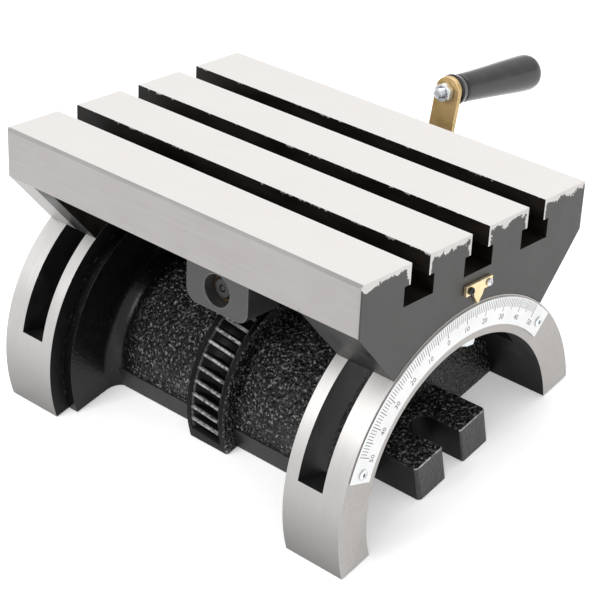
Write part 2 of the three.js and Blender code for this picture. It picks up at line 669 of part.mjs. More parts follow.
addPiece("base_casting", baseCasting(), finishes.castBlack, false);
addPiece("degree_scale", degreePlate().translate([0, 0, arch.axisHeight]), finishes.whitePlate, false);
for (const [name, side] of [["near", -1], ["far", 1]]) {
  const pin = domedPin(scaleRivet.radius, scaleRivet.length, scaleRivet.radius * 1.8, 1)
    .translate([0, 0, 2 * touchGap + scale.thickness]);
  const rivet = stand(pin, rivetPlace(side), alongAxis);
  addPiece(`scale_rivet_${name}`, rivet.translate([0, 0, arch.axisHeight]), finishes.brightZinc, false);
}

addPiece("table_casting", tableCasting(), finishes.groundSteel, true);
addPiece("pointer", pointerPlate(), finishes.brass, true);
for (const [name, side] of [["near", -1], ["far", 1]]) {
  const screw = domedPin(pointer.screwR, pointer.screwLength, pointer.screwR * 1.9, 1.6)
    .translate([0, 0, 2 * touchGap + pointer.thickness]);
  const placed = stand(screw, pointerScrewPlace(side), alongAxis);
  addPiece(`pointer_screw_${name}`, placed, finishes.brightZinc, true);
}

addPiece("worm_bracket", wormBracket(), finishes.greyPaint, true);
bracketScrewPlaces().forEach(([x, y], index) => {
  const seat = bracketRoof - touchGap;
  const face = seat - bracketScrew.headHeight;
  const socket = barZ(screwSocket.radius, face - overcut, face + screwSocket.depth, 6);
  const screw = barZ(bracketScrew.headR, face, seat)
    .add(barZ(bracketScrew.shankR, seat - overcut, plateBottom + bracketScrew.reach, segments.small))
    .subtract(socket);
  addPiece(`bracket_screw_${index + 1}`, screw.translate([x, y, 0]), finishes.darkSteel, true);
});
addPiece("front_bush", bush(frontBush), finishes.bronze, true);
addPiece("rear_bush", bush(rearBush), finishes.bronze, true);
addPiece("worm_shaft", wormShaft(), finishes.shaftSteel, true);
addPiece("thrust_collar", thrustCollar(), finishes.darkSteel, true);

addPiece("crank_arm", onCrank(crankArm()), finishes.yellowZinc, true);
const washerStart = hubFace + crank.thickness + touchGap;
const washerEnd = washerStart + hubWasher.thickness;
const washerHole = barY(shaft.studR + touchGap, washerStart - overcut, washerEnd + overcut, segments.bore);
addPiece("hub_washer", onCrank(barY(hubWasher.outerR, washerStart, washerEnd).subtract(washerHole)),
  finishes.brightZinc, true);
const nutPlace = new THREE.Vector3(0, washerEnd + touchGap, 0);
addPiece("hub_nut", onCrank(stand(hexNut(hubNut.acrossFlats, hubNut.thickness, shaft.studR + touchGap),
  nutPlace, new THREE.Vector3(0, 1, 0))), finishes.brightZinc, true);
addPiece("grip_nut", onCrank(onGrip(hexNut(gripNut.acrossFlats, gripNut.thickness, spindle.studR + touchGap)
  .translate([0, 0, -gripNut.thickness - touchGap]))), finishes.brightZinc, true);
addPiece("grip_collar", onCrank(onGrip(gripCollar())), finishes.darkSteel, true);
addPiece("grip_spindle", onCrank(onGrip(gripSpindle())), finishes.brightZinc, true);
addPiece("grip", onCrank(onGrip(gripHandle())), finishes.blackPlastic, true);

for (const place of lockPlaces()) {
  addPiece(`lock_stud_${place.name}`, atLock(lockStud(), place), finishes.shaftSteel, true);
  addPiece(`lock_washer_${place.name}`, atLock(lockWasher(), place), finishes.brightZinc, true);
  addPiece(`lock_nut_${place.name}`, atLock(lockNut(), place), finishes.brightZinc, true);
}

export default assembly;
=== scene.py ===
import json
import logging
import math
from collections.abc import Callable, Sequence
from dataclasses import dataclass, replace
from enum import Enum

import bmesh
import bpy
from mathutils import Euler, Matrix, Vector


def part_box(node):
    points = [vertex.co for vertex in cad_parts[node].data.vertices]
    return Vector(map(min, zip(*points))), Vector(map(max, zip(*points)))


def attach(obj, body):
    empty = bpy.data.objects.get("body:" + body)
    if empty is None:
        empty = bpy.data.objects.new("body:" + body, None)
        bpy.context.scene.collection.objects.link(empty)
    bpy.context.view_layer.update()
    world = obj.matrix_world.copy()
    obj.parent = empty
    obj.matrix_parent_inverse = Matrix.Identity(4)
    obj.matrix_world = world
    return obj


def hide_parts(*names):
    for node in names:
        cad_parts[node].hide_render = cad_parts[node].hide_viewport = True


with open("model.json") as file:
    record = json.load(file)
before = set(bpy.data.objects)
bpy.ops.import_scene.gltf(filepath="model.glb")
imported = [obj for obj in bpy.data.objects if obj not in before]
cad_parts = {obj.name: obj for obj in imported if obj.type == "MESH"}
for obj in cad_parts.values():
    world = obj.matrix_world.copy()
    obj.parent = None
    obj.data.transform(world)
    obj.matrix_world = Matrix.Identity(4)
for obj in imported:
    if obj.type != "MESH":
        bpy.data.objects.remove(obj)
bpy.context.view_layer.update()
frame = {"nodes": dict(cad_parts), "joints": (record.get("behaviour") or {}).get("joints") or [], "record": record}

Colour = tuple[float, float, float]
Corner = tuple[float, float, float]
Point = tuple[float, float]
Shape = bmesh.types.BMesh
Edge = bmesh.types.BMEdge
Socket = bpy.types.NodeSocket
Node = bpy.types.Node
Tree = bpy.types.NodeTree
Material = bpy.types.Material
Home = tuple[str, str]
Chooser = Callable[[Vector, Vector], int]

MILLIMETRE = 0.001
WELD = 1e-4
SHADE_ANGLE = 38.0
SHARP_ANGLE = 24.0
FLAT_ANGLE = 1.0
NORMAL_WEIGHT = 80
ORIGIN = (0.0, 0.0, 0.0)
UP = (0.0, 0.0, 1.0)
WHITE = (1.0, 1.0, 1.0, 1.0)
WORN = "worn"
WORN_ROUGHNESS = 0.1
WORN_METAL = 0.7
MOSTLY_METAL = 0.5

log = logging.getLogger("tilting_table")


# ---- frames ------------------------------------------------------------------------------------------


@dataclass(frozen=True)
class Frames:
    """The turned frames, in millimetres, that the pieces are drawn in.

    Attributes:
        axis: the base's frame lifted to the tilt axis.
        table: the frame of the tilted table, with its origin on the tilt axis.
        crank: Y runs along the worm shaft and Z from the shaft towards the grip.
        grip: Z runs out along the grip from the arm's near face.
    """

    axis: Matrix
    table: Matrix
    crank: Matrix
    grip: Matrix

    @staticmethod
    def standing(origin: Vector, along_y: Vector, along_z: Vector) -> Matrix:
        """Builds a millimetre frame from its origin and two of its directions.

        Args:
            origin: where the frame stands, in metres.
            along_y: its Y direction.
            along_z: roughly its Z direction, which is squared up against Y.

        Returns:
            The matrix that brings millimetres in the frame to metres in the base's frame.
        """
        y = along_y.normalized()
        z = (along_z - along_z.dot(y) * y).normalized()
        x = y.cross(z)
        turn = Matrix((x, y, z)).transposed().to_4x4()
        return Matrix.Translation(origin) @ turn @ Matrix.Scale(MILLIMETRE, 4)

    @classmethod
    def from_record(cls, record: dict, joints: list[dict]) -> "Frames":
        """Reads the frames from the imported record.

        Args:
            record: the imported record, whose mounts give the table's top.
            joints: the joints, which give the three axes.

        Returns:
            The frames of this object.
        """
        by_name = {joint["name"]: joint for joint in joints}
        mounts = {mount["name"]: mount for mount in record["mounts"]}
        tilt = Vector(by_name["table_tilt"]["pos_m"])
        top = Vector(mounts["table_top"]["axis"])
        side = top.cross(Vector((1.0, 0.0, 0.0)))
        hub = Vector(by_name["crank_turn"]["pos_m"])
        shaft = Vector(by_name["crank_turn"]["axis"])
        grip_foot = Vector(by_name["grip_spin"]["pos_m"])
        grip_axis = Vector(by_name["grip_spin"]["axis"])
        crank = cls.standing(hub, shaft, grip_foot - hub)
        across = crank.to_3x3() @ Vector((1.0, 0.0, 0.0))
        grip_y = grip_axis.cross(across)
        return cls(
            axis=Matrix.Translation(tilt) @ Matrix.Scale(MILLIMETRE, 4),
            table=cls.standing(tilt, side, top),
            crank=crank,
            grip=cls.standing(grip_foot, grip_y, grip_axis),
        )


FRAMES = Frames.from_record(frame["record"], frame["joints"])


class Lie(Enum):
    """Which way a shape drawn in A and B and grown along C is laid down."""

    ALONG_X = Matrix(((0, 0, 1, 0), (1, 0, 0, 0), (0, 1, 0, 0), (0, 0, 0, 1)))
    ALONG_Y = Matrix(((1, 0, 0, 0), (0, 0, 1, 0), (0, 1, 0, 0), (0, 0, 0, 1)))
    ALONG_Z = Matrix.Identity(4)


# ---- shapes ------------------------------------------------------------------------------------------


def square_up(shape: Shape) -> Shape:
    """Welds a shape's doubled points, turns its faces outwards and returns it."""
    bmesh.ops.remove_doubles(shape, verts=shape.verts[:], dist=WELD)
    bmesh.ops.dissolve_degenerate(shape, edges=shape.edges[:], dist=WELD)
    bmesh.ops.recalc_face_normals(shape, faces=shape.faces[:])
    return shape


def laid(shape: Shape, matrix: Matrix) -> Shape:
    """Moves a shape by a matrix, keeps its faces outward and returns it."""
    bmesh.ops.transform(shape, matrix=matrix, verts=shape.verts[:])
    if matrix.determinant() < 0.0:
        bmesh.ops.reverse_faces(shape, faces=shape.faces[:])
    return shape


def merged(shapes: Sequence[Shape]) -> Shape:
    """Puts several closed shapes into one.

    Args:
        shapes: the shapes, which are used up.

    Returns:
        One shape that holds them all.
    """
    whole = bmesh.new()
    for shape in shapes:
        mesh = bpy.data.meshes.new("part")
        shape.to_mesh(mesh)
        shape.free()
        whole.from_mesh(mesh)
        bpy.data.meshes.remove(mesh)
    return whole


def soften(
    shape: Shape,
    width: float,
    segments: int = 2,
    chosen: Callable[[Edge], bool] | None = None,
    clamp: bool = True,
) -> Shape:
    """Rounds the sharp outward edges of a shape and marks them as worn.

    Args:
        shape: the shape to round.
        width: how wide the rounding is, in millimetres.
        segments: how many faces the rounding has.
        chosen: a test that picks among the sharp edges, or None for all of them.
        clamp: whether a rounding stops where it meets the next one.

    Returns:
        The same shape.
    """
    worn = shape.faces.layers.float.get(WORN) or shape.faces.layers.float.new(WORN)
    sharp = [
        edge
        for edge in shape.edges
        if len(edge.link_faces) == 2
        and edge.calc_face_angle_signed(0.0) > math.radians(SHARP_ANGLE)
        and (chosen is None or chosen(edge))
    ]
    if not sharp:
        return shape
    made = bmesh.ops.bevel(
        shape,
        geom=sharp,
        offset=width,
        offset_type="OFFSET",
        affect="EDGES",
        segments=segments,
        profile=0.5,
        clamp_overlap=clamp,
        material=-1,
        loop_slide=True,
    )
    for face in made["faces"]:
        face[worn] = 1.0
    return shape


def turned(outline: Sequence[Point], steps: int = 64, ring: bool = False) -> Shape:
    """Spins an outline of (height, radius) points about Z.

    Args:
        outline: the points, from axis to axis, or round a closed ring.
        steps: how many faces go round.
        ring: whether the outline closes on itself and leaves a bore.

    Returns:
        The closed shape.
    """
    shape = bmesh.new()
    verts = [shape.verts.new((radius, 0.0, height)) for height, radius in outline]
    pairs = list(zip(verts, verts[1:])) + ([(verts[-1], verts[0])] if ring else [])
    edges = [shape.edges.new(pair) for pair in pairs]
    bmesh.ops.spin(
        shape,
        geom=verts + edges,
        cent=ORIGIN,
        axis=UP,
        angle=math.tau,
        steps=steps,
        use_merge=True,
    )
    return square_up(shape)


def flat_ring(start: float, end: float, inner: float, outer: float, edge: float, steps: int = 48) -> Shape:
    """Turns a washer or collar about Z.

    Args:
        start: where it starts on Z.
        end: where it stops.
        inner: the radius of its bore.
        outer: its outer radius.
        edge: how far its edges are rounded.
        steps: how many faces go round.

    Returns:
        The closed ring.
    """
    outline = [(start, inner), (start, outer), (end, outer), (end, inner)]
    return soften(turned(outline, steps=steps, ring=True), edge)


def plate(corners: Sequence[Corner], thickness: float, rounding: int = 10) -> Shape:
    """Grows a flat outline into a plate, with its corners rounded first.

    Args:
        corners: the outline's corners as (a, b, corner radius).
        thickness: how far the outline grows along C.
        rounding: how many steps a rounded corner has.

    Returns:
        The closed plate, standing on C = 0.
    """
    shape = bmesh.new()
    verts = [shape.verts.new((a, b, 0.0)) for a, b, _ in corners]
    shape.faces.new(verts)
    for vert, (_, _, radius) in zip(verts, corners):
        if radius > 0.0:
            bmesh.ops.bevel(
                shape,
                geom=[vert],
                offset=radius,
                offset_type="OFFSET",
                affect="VERTICES",
                segments=rounding,
                profile=0.5,
                clamp_overlap=False,
                material=-1,
            )
    grown = bmesh.ops.extrude_face_region(shape, geom=shape.faces[:])
    moved = [item for item in grown["geom"] if isinstance(item, bmesh.types.BMVert)]
    bmesh.ops.translate(shape, vec=(0.0, 0.0, thickness), verts=moved)
    return square_up(shape)


def cut_away(shape: Shape, point: Vector, outward: Vector) -> Shape:
    """Cuts off what lies beyond a plane and closes the cut.

    Args:
        shape: the shape to cut.
        point: a point on the plane.
        outward: the side that is cut off.

    Returns:
        The same shape.
    """
    everything = shape.verts[:] + shape.edges[:] + shape.faces[:]
    made = bmesh.ops.bisect_plane(
        shape, geom=everything, dist=WELD, plane_co=point, plane_no=outward, clear_outer=True
    )
    rims = [item for item in made["geom_cut"] if isinstance(item, Edge)]
    bmesh.ops.holes_fill(shape, edges=rims, sides=0)
    return square_up(shape)


def split_at(shape: Shape, point: Vector, direction: Vector) -> Shape:
    """Adds edges where the plane through a point, square to a direction, crosses a shape."""
    everything = shape.verts[:] + shape.edges[:] + shape.faces[:]
    bmesh.ops.bisect_plane(shape, geom=everything, dist=WELD, plane_co=point, plane_no=direction)
    return shape


def cast_copy(node: str, into: Matrix) -> Shape:
    """Copies a CAD node's mesh into one of the millimetre frames, welded and with flat faces joined.

    Args:
        node: the node's name.
        into: the frame that the copy is wanted in.

    Returns:
        The welded copy.
    """
    shape = bmesh.new()
    shape.from_mesh(frame["nodes"][node].data)
    bmesh.ops.transform(shape, matrix=into.inverted(), verts=shape.verts[:])
    bmesh.ops.remove_doubles(shape, verts=shape.verts[:], dist=10.0 * WELD)
    bmesh.ops.dissolve_limit(
        shape, angle_limit=math.radians(FLAT_ANGLE), verts=shape.verts[:], edges=shape.edges[:]
    )
    return shape


def screw_thread(radius: float, pitch: float, start: float, end: float, steps: int = 24) -> Shape:
    """Winds a V-shaped ridge along Z, for the visible end of a stud.

    Args:
        radius: the outer radius.
        pitch: the distance between ridges.
        start: where the ridge starts on Z.
        end: where it stops.
        steps: how many faces go round in one turn.

    Returns:
        The closed ridge, sunk a little into the stud's core.
    """
    depth = 0.6 * pitch
    sunk = radius - 1.6 * depth
    turns = max(1, round((end - start) / pitch) - 1)
    ridge = [(sunk, 0.0), (radius - depth, 0.06 * pitch), (radius, 0.44 * pitch), (radius, 0.56 * pitch)]
    ridge += [(radius - depth, 0.94 * pitch), (sunk, pitch)]
    return wound(ridge, pitch, turns, steps, start)


def wound(section: Sequence[Point], lead: float, turns: float, steps: int, start: float) -> Shape:
    """Winds a section of (radius, height) points along Z with a right-hand lead.

    Args:
        section: the section's corners.
        lead: how far it climbs in one turn.
        turns: how many turns it makes.
        steps: how many faces go round in one turn.
        start: the height it starts from.

    Returns:
        The closed winding.
    """
    shape = bmesh.new()
    verts = [shape.verts.new((radius, 0.0, start + height)) for radius, height in section]
    face = shape.faces.new(verts)
    count = max(3, round(turns * steps))
    bmesh.ops.spin(
        shape,
        geom=[face],
        cent=ORIGIN,
        axis=UP,
        dvec=(0.0, 0.0, lead * turns / count),
        angle=math.tau * turns,
        steps=count,
        use_merge=False,
    )
    return square_up(shape)


def hexagon_nut(across: float, thickness: float, bore: float, washer_face: float = 0.0) -> Shape:
    """Makes a hexagon nut with turned chamfers, standing on Z = 0.

    Args:
        across: the size across the flats.
        thickness: the nut's height.
        bore: the radius of its hole.
        washer_face: how high the round seat under it stands.

    Returns:
        The closed nut.
    """
    corner = across / math.sqrt(3.0)
    fall = 0.55 * (corner - across / 2.0)
    flat = 0.96 * across / 2.0
    outline = [
        (0.0, bore + 0.4),
        (0.0, flat),
        (washer_face, flat),
        (washer_face + fall, corner),
        (thickness - fall, corner),
        (thickness, flat),
        (thickness, bore + 0.5),
        (thickness - 0.5, bore),
        (0.4, bore),
    ]
    shape = turned(outline, steps=48, ring=True)
    for side in range(6):
        angle = math.radians(60.0 * side)
        outward = Vector((math.cos(angle), math.sin(angle), 0.0))
        cut_away(shape, outward * across / 2.0, outward)
    return soften(
        shape, 0.18, segments=1, chosen=lambda edge: min(v.co.xy.length for v in edge.verts) > flat
    )


def settle(
    shape: Shape,
    name: str,
    place: Matrix,
    materials: Sequence[Material],
    chooser: Chooser | None = None,
) -> bpy.types.Object:
    """Turns a finished shape into a piece whose object sits at the origin.

    Args:
        shape: the shape, in millimetres in its own frame.
        name: the piece's name.
        place: the frame it was drawn in.
        materials: its materials.
        chooser: picks a material's place in the list from a face's centre and direction.

    Returns:
        The piece.
    """
    if chooser is not None:
        for face in shape.faces:
            face.material_index = chooser(face.calc_center_median(), face.normal)
    laid(shape, place)
    mesh = bpy.data.meshes.new(name)
    shape.to_mesh(mesh)
    shape.free()
    for attribute in [a for a in mesh.attributes if a.name == "custom_normal"]:
        mesh.attributes.remove(attribute)
    for material in materials:
        mesh.materials.append(material)
    mesh.shade_smooth()
    mesh.set_sharp_from_angle(angle=math.radians(SHADE_ANGLE))
    piece = bpy.data.objects.new(name, mesh)
    bpy.context.scene.collection.objects.link(piece)
    weighted = piece.modifiers.new("even_normals", "WEIGHTED_NORMAL")
    weighted.keep_sharp = True
    weighted.weight = NORMAL_WEIGHT
    return piece


# ---- finishes ----------------------------------------------------------------------------------------


class NodeSheet:
    """Adds nodes to one node tree with short calls."""

    def __init__(self, tree: Tree) -> None:
        """Keeps the tree that the nodes go into."""
        self.tree = tree

    def add(self, kind: str, inputs: dict | None = None, **settings: object) -> Node:
        """Adds one node.

        Args:
            kind: the node's type, without its common beginning.
            inputs: values or sockets for its inputs, by name or number.
            settings: the node's own properties.

        Returns:
            The node.
        """
        node = self.tree.nodes.new("ShaderNode" + kind)
        for name, value in settings.items():
            setattr(node, name, value)
        for name, value in (inputs or {}).items():
            if isinstance(value, Socket):
                self.tree.links.new(value, node.inputs[name])
            else:
                node.inputs[name].default_value = value
        return node

    def math(self, operation: str, first: object, second: object = 0.0) -> Socket:
        """Adds a Math node and returns its result."""
        return self.add("Math", {0: first, 1: second}, operation=operation).outputs[0]

    def spread(
        self, value: Socket, low: float, high: float, to_low: float = 0.0, to_high: float = 1.0
    ) -> Socket:
        """Maps a value from one range to another, held inside it.

        Args:
            value: the value to map.
            low: where the old range starts.
            high: where it ends.
            to_low: where the new range starts.
            to_high: where it ends.

        Returns:
            The mapped value.
        """
        inputs = {"Value": value, "From Min": low, "From Max": high, "To Min": to_low, "To Max": to_high}
        return self.add("MapRange", inputs, clamp=True).outputs["Result"]

    def blend(self, share: Socket, first: object, second: object) -> Socket:
        """Mixes two colours by a share.

        Args:
            share: how much of the second colour shows.
            first: the first colour, as a colour or socket.
            second: the second colour, as a colour or socket.

        Returns:
            The mixed colour.
        """
        wide = {6: first, 7: second}
        wide = {k: (*v, 1.0) if isinstance(v, tuple) and len(v) == 3 else v for k, v in wide.items()}
        return self.add("Mix", {0: share, **wide}, data_type="RGBA", clamp_factor=True).outputs[2]

    def noise(self, vector: Socket, scale: float, detail: float = 3.0, roughness: float = 0.55) -> Socket:
        """Adds a noise texture and returns its value.

        Args:
            vector: where the noise is read.
            scale: its grain for each millimetre.
            detail: how many finer layers it has.
            roughness: how strong the finer layers are.

        Returns:
            The noise, from 0 to 1.
        """
        inputs = {"Vector": vector, "Scale": scale, "Detail": detail, "Roughness": roughness}
        return self.add("TexNoise", inputs).outputs[0]


def new_group(
    name: str, inputs: dict[str, str], outputs: dict[str, str]
) -> tuple[NodeSheet, Node, Node]:
    """Starts a node group with named inputs and outputs.

    Args:
        name: the group's name.
        inputs: socket names and their kinds.
        outputs: socket names and their kinds.

    Returns:
        The sheet to build on, and the group's input and output nodes.
    """
    tree = bpy.data.node_groups.new(name, "ShaderNodeTree")
    for label, kind in inputs.items():
        tree.interface.new_socket(name=label, in_out="INPUT", socket_type="NodeSocket" + kind)
    for label, kind in outputs.items():
        tree.interface.new_socket(name=label, in_out="OUTPUT", socket_type="NodeSocket" + kind)
    return NodeSheet(tree), tree.nodes.new("NodeGroupInput"), tree.nodes.new("NodeGroupOutput")


class PatternSheet(NodeSheet):
    """A pattern's node group, with its coordinates plain and drawn out, and its two results."""

    def __init__(self, name: str) -> None:
        """Starts the group of that name."""
        takes = {"Vector": "Vector", "Stretch": "Vector"}
        sheet, entry, self.exit = new_group(name, takes, {"Tone": "Float", "Height": "Float"})
        super().__init__(sheet.tree)
        self.plain = entry.outputs["Vector"]
        place = self.add("Mapping", {"Vector": self.plain, "Scale": entry.outputs["Stretch"]})
        self.spot = place.outputs[0]

    def result(self, tone: Socket, height: Socket) -> Tree:
        """Links the pattern's tone and relief to the group's outputs and returns the group."""
        self.tree.links.new(tone, self.exit.inputs["Tone"])
        self.tree.links.new(height, self.exit.inputs["Height"])
        return self.tree


def cast_skin_group() -> Tree:
    """The pebbled skin of a sand casting under enamel, with lighter specks for its dust and thin spots and for
    painted glints.
    """
    sheet = PatternSheet("cast_skin")
    cells = {"Vector": sheet.spot, "Scale": 0.55, "Smoothness": 0.35}
    pebbles = sheet.add("TexVoronoi", cells, feature="SMOOTH_F1").outputs["Distance"]
    fine = sheet.noise(sheet.spot, scale=0.75, detail=3.0, roughness=0.55)
    lumps = sheet.noise(sheet.spot, scale=0.11, detail=2.0)
    relief = sheet.math("ADD", sheet.math("MULTIPLY", pebbles, 0.55), sheet.math("MULTIPLY", fine, 0.75))
    strength = sheet.spread(lumps, 0.34, 0.58, 0.6, 1.0)
    # Painted highlight: lighter specks that stand for dust and thin spots and also for the glints of light on the
    # pebbles.
    dust_and_glint_specks = sheet.spread(sheet.noise(sheet.spot, scale=0.58, detail=2.0, roughness=0.7), 0.545, 0.68)
    return sheet.result(sheet.math("MULTIPLY", dust_and_glint_specks, strength), sheet.math("MULTIPLY", relief, strength))


def ground_grain_group() -> Tree:
    """The fine parallel lines of a ground or brushed face, with broad soft patches."""
    sheet = PatternSheet("ground_grain")
    lines = sheet.noise(sheet.spot, scale=1.0, detail=5.0, roughness=0.7)
    patches = sheet.noise(sheet.plain, scale=0.035, detail=3.0)
    tone = sheet.math("ADD", sheet.math("MULTIPLY", lines, 0.6), sheet.math("MULTIPLY", patches, 0.4))
    return sheet.result(sheet.spread(tone, 0.3, 0.7), lines)


def fine_mottle_group() -> Tree:
    """The even mottle of paint, plating and moulded plastic."""
    sheet = PatternSheet("fine_mottle")
    orange_peel = sheet.noise(sheet.spot, scale=0.9, detail=2.0)
    cloud = sheet.noise(sheet.spot, scale=0.09, detail=4.0, roughness=0.6)
    return sheet.result(sheet.spread(cloud, 0.32, 0.68), orange_peel)


def chips_group() -> Tree:
    """Ragged chips that reach in from an edge: Distance is how far the edge is, in millimetres."""
    takes = {"Vector": "Vector", "Distance": "Float", "Reach": "Float", "Bare": "Float"}
    sheet, entry, exit_ = new_group("edge_chips", takes, {"Mask": "Float"})
    coarse = sheet.noise(entry.outputs["Vector"], scale=0.16, detail=3.0, roughness=0.6)
    ragged = sheet.noise(entry.outputs["Vector"], scale=0.9, detail=3.0, roughness=0.7)
    bite = sheet.math("MULTIPLY", sheet.spread(coarse, 0.42, 0.68), entry.outputs["Reach"])
    bite = sheet.math("ADD", bite, entry.outputs["Bare"])
    bite = sheet.math("ADD", bite, sheet.spread(ragged, 0.3, 0.7, -0.7, 0.7))
    left = sheet.math("SUBTRACT", bite, entry.outputs["Distance"])
    sheet.tree.links.new(sheet.spread(left, -0.1, 0.25), exit_.inputs["Mask"])
    return sheet.tree


def rubbed_edges_group() -> Tree:
    """Where handling has rubbed the rounded edges bare."""
    takes = {"Vector": "Vector", "Edge": "Float", "Amount": "Float"}
    sheet, entry, exit_ = new_group("rubbed_edges", takes, {"Mask": "Float"})
    ragged = sheet.noise(entry.outputs["Vector"], scale=0.55, detail=4.0, roughness=0.7)
    rubbed = sheet.math("MULTIPLY", sheet.spread(ragged, 0.36, 0.6), entry.outputs["Edge"])
    sheet.tree.links.new(sheet.math("MULTIPLY", rubbed, entry.outputs["Amount"]), exit_.inputs["Mask"])
    return sheet.tree


class Pattern(Enum):
    """The surface patterns a finish can have, by the name of their node group."""

    CAST = "cast_skin"
    GROUND = "ground_grain"
    MOTTLE = "fine_mottle"


class Groups:
    """Builds each node group once and hands it out by name."""

    makers: dict[str, Callable[[], Tree]] = {
        "cast_skin": cast_skin_group,
        "ground_grain": ground_grain_group,
        "fine_mottle": fine_mottle_group,
        "edge_chips": chips_group,
        "rubbed_edges": rubbed_edges_group,
    }

    @classmethod
    def get(cls, name: str) -> Tree:
        """Returns the group of that name, built on first use."""
        return bpy.data.node_groups.get(name) or cls.makers[name]()


@dataclass(frozen=True)
class Finish:
    """One surface finish.

    Attributes:
        name: what the maker calls it.
        colour: its main colour.
        second: the colour of its lighter or darker patches.
        metallic: how far it is bare metal.
        smooth: its roughness where the pattern is low.
        rough: its roughness where the pattern is high.
        pattern: the pattern of its surface.
        stretch: how the pattern is drawn out along each direction.
        relief: how strongly the pattern stands out.
        depth: how deep the pattern is, in millimetres.
        rubbed: how far its rounded edges are worn.
        bare: the colour of what is under it.
        specular: how strongly a coat or paint mirrors.
        foot: the painted shade near the floor, a darker colour for the dark surroundings that low faces reflect,
            or None.
        foot_top: how high over the piece's own origin the painted shade fades out, in millimetres.
        calm: from where to where along the tilt axis the pattern fades out, and where it starts again,
            or None where the pattern is the same all over.
        calm_share: how much of the pattern is left where it has faded.
        hollow_share: how much of it there is where it has started again.
    """

    name: str
    colour: Colour
    second: Colour
    metallic: float = 0.0
    smooth: float = 0.3
    rough: float = 0.45
    pattern: Pattern = Pattern.MOTTLE
    stretch: Colour = (1.0, 1.0, 1.0)
    relief: float = 0.1
    depth: float = 0.05
    rubbed: float = 0.0
    bare: Colour = (0.5, 0.49, 0.48)
    specular: float = 0.5
    foot: Colour | None = None
    foot_top: float = 0.0
    calm: Colour | None = None
    calm_share: float = 0.04
    hollow_share: float = 0.4

    def mask(self, sheet: NodeSheet, spot: Socket) -> Socket | None:
        """Returns where the bare colour shows, or None where nothing is worn."""
        if self.rubbed <= 0.0:
            return None
        edge = sheet.add("Attribute", attribute_name=WORN, attribute_type="GEOMETRY").outputs["Fac"]
        group = sheet.add("Group", node_tree=Groups.get("rubbed_edges"))
        sheet.tree.links.new(spot, group.inputs["Vector"])
        sheet.tree.links.new(edge, group.inputs["Edge"])
        group.inputs["Amount"].default_value = self.rubbed
        return group.outputs["Mask"]

    def make(self, place: Matrix) -> Material:
        """Builds the finish for pieces drawn in one frame.

        Args:
            place: the frame, which the pattern lies square to.

        Returns:
            The material.
        """
        material = bpy.data.materials.new(self.name)
        material.use_nodes = True
        material.node_tree.nodes.clear()
        sheet = NodeSheet(material.node_tree)
        coordinates = sheet.add("TexCoord").outputs["Object"]
        local = sheet.add(
            "Mapping",
            {
                "Vector": coordinates,
                "Location": place.to_translation(),
                "Rotation": place.to_3x3().normalized().to_euler(),
                "Scale": (MILLIMETRE,) * 3,
            },
            vector_type="TEXTURE",
        ).outputs[0]
        group = sheet.add("Group", node_tree=Groups.get(self.pattern.value))
        sheet.tree.links.new(local, group.inputs["Vector"])
        group.inputs["Stretch"].default_value = self.stretch
        tone, height = group.outputs["Tone"], group.outputs["Height"]
        if self.calm is not None:
            start, end, again = self.calm
            aside = sheet.math("ABSOLUTE", sheet.add("SeparateXYZ", {0: local}).outputs["X"])
            middle = sheet.spread(aside, start, end, 1.0, self.calm_share)
            hollow = sheet.math("MULTIPLY", sheet.math("GREATER_THAN", aside, again), self.hollow_share)
            lively = sheet.math("MAXIMUM", middle, hollow)
            tone, height = sheet.math("MULTIPLY", tone, lively), sheet.math("MULTIPLY", height, lively)
        colour = sheet.blend(tone, self.colour, self.second)
        roughness = sheet.spread(tone, 0.0, 1.0, self.smooth, self.rough)
        shader = sheet.add("BsdfPrincipled")
        shader.inputs["Specular IOR Level"].default_value = self.specular
        shader.inputs["Metallic"].default_value = self.metallic
        # Painted shade: low on the piece the colour blends into the darker foot colour.
        if self.foot is not None:
            level = sheet.add("SeparateXYZ", {0: local}).outputs["Z"]
            unshaded = sheet.spread(level, -0.3 * self.foot_top, self.foot_top)
            colour = sheet.blend(unshaded, self.foot, colour)
        worn = self.mask(sheet, local)
        if worn is not None:
            colour = sheet.blend(worn, colour, self.bare)
            roughness = sheet.math("ADD", roughness, sheet.math("MULTIPLY", worn, WORN_ROUGHNESS))
            if self.metallic < MOSTLY_METAL:
                metal = sheet.spread(worn, 0.0, 1.0, self.metallic, WORN_METAL)
                sheet.tree.links.new(metal, shader.inputs["Metallic"])
        bump_inputs = {"Height": height, "Strength": self.relief}
        bump_inputs["Distance"] = self.depth * MILLIMETRE
        bump = sheet.add("Bump", bump_inputs)
        sheet.tree.links.new(colour, shader.inputs["Base Color"])
        sheet.tree.links.new(roughness, shader.inputs["Roughness"])
        sheet.tree.links.new(bump.outputs[0], shader.inputs["Normal"])
        output = sheet.add("OutputMaterial")
        sheet.tree.links.new(shader.outputs[0], output.inputs["Surface"])
        return material


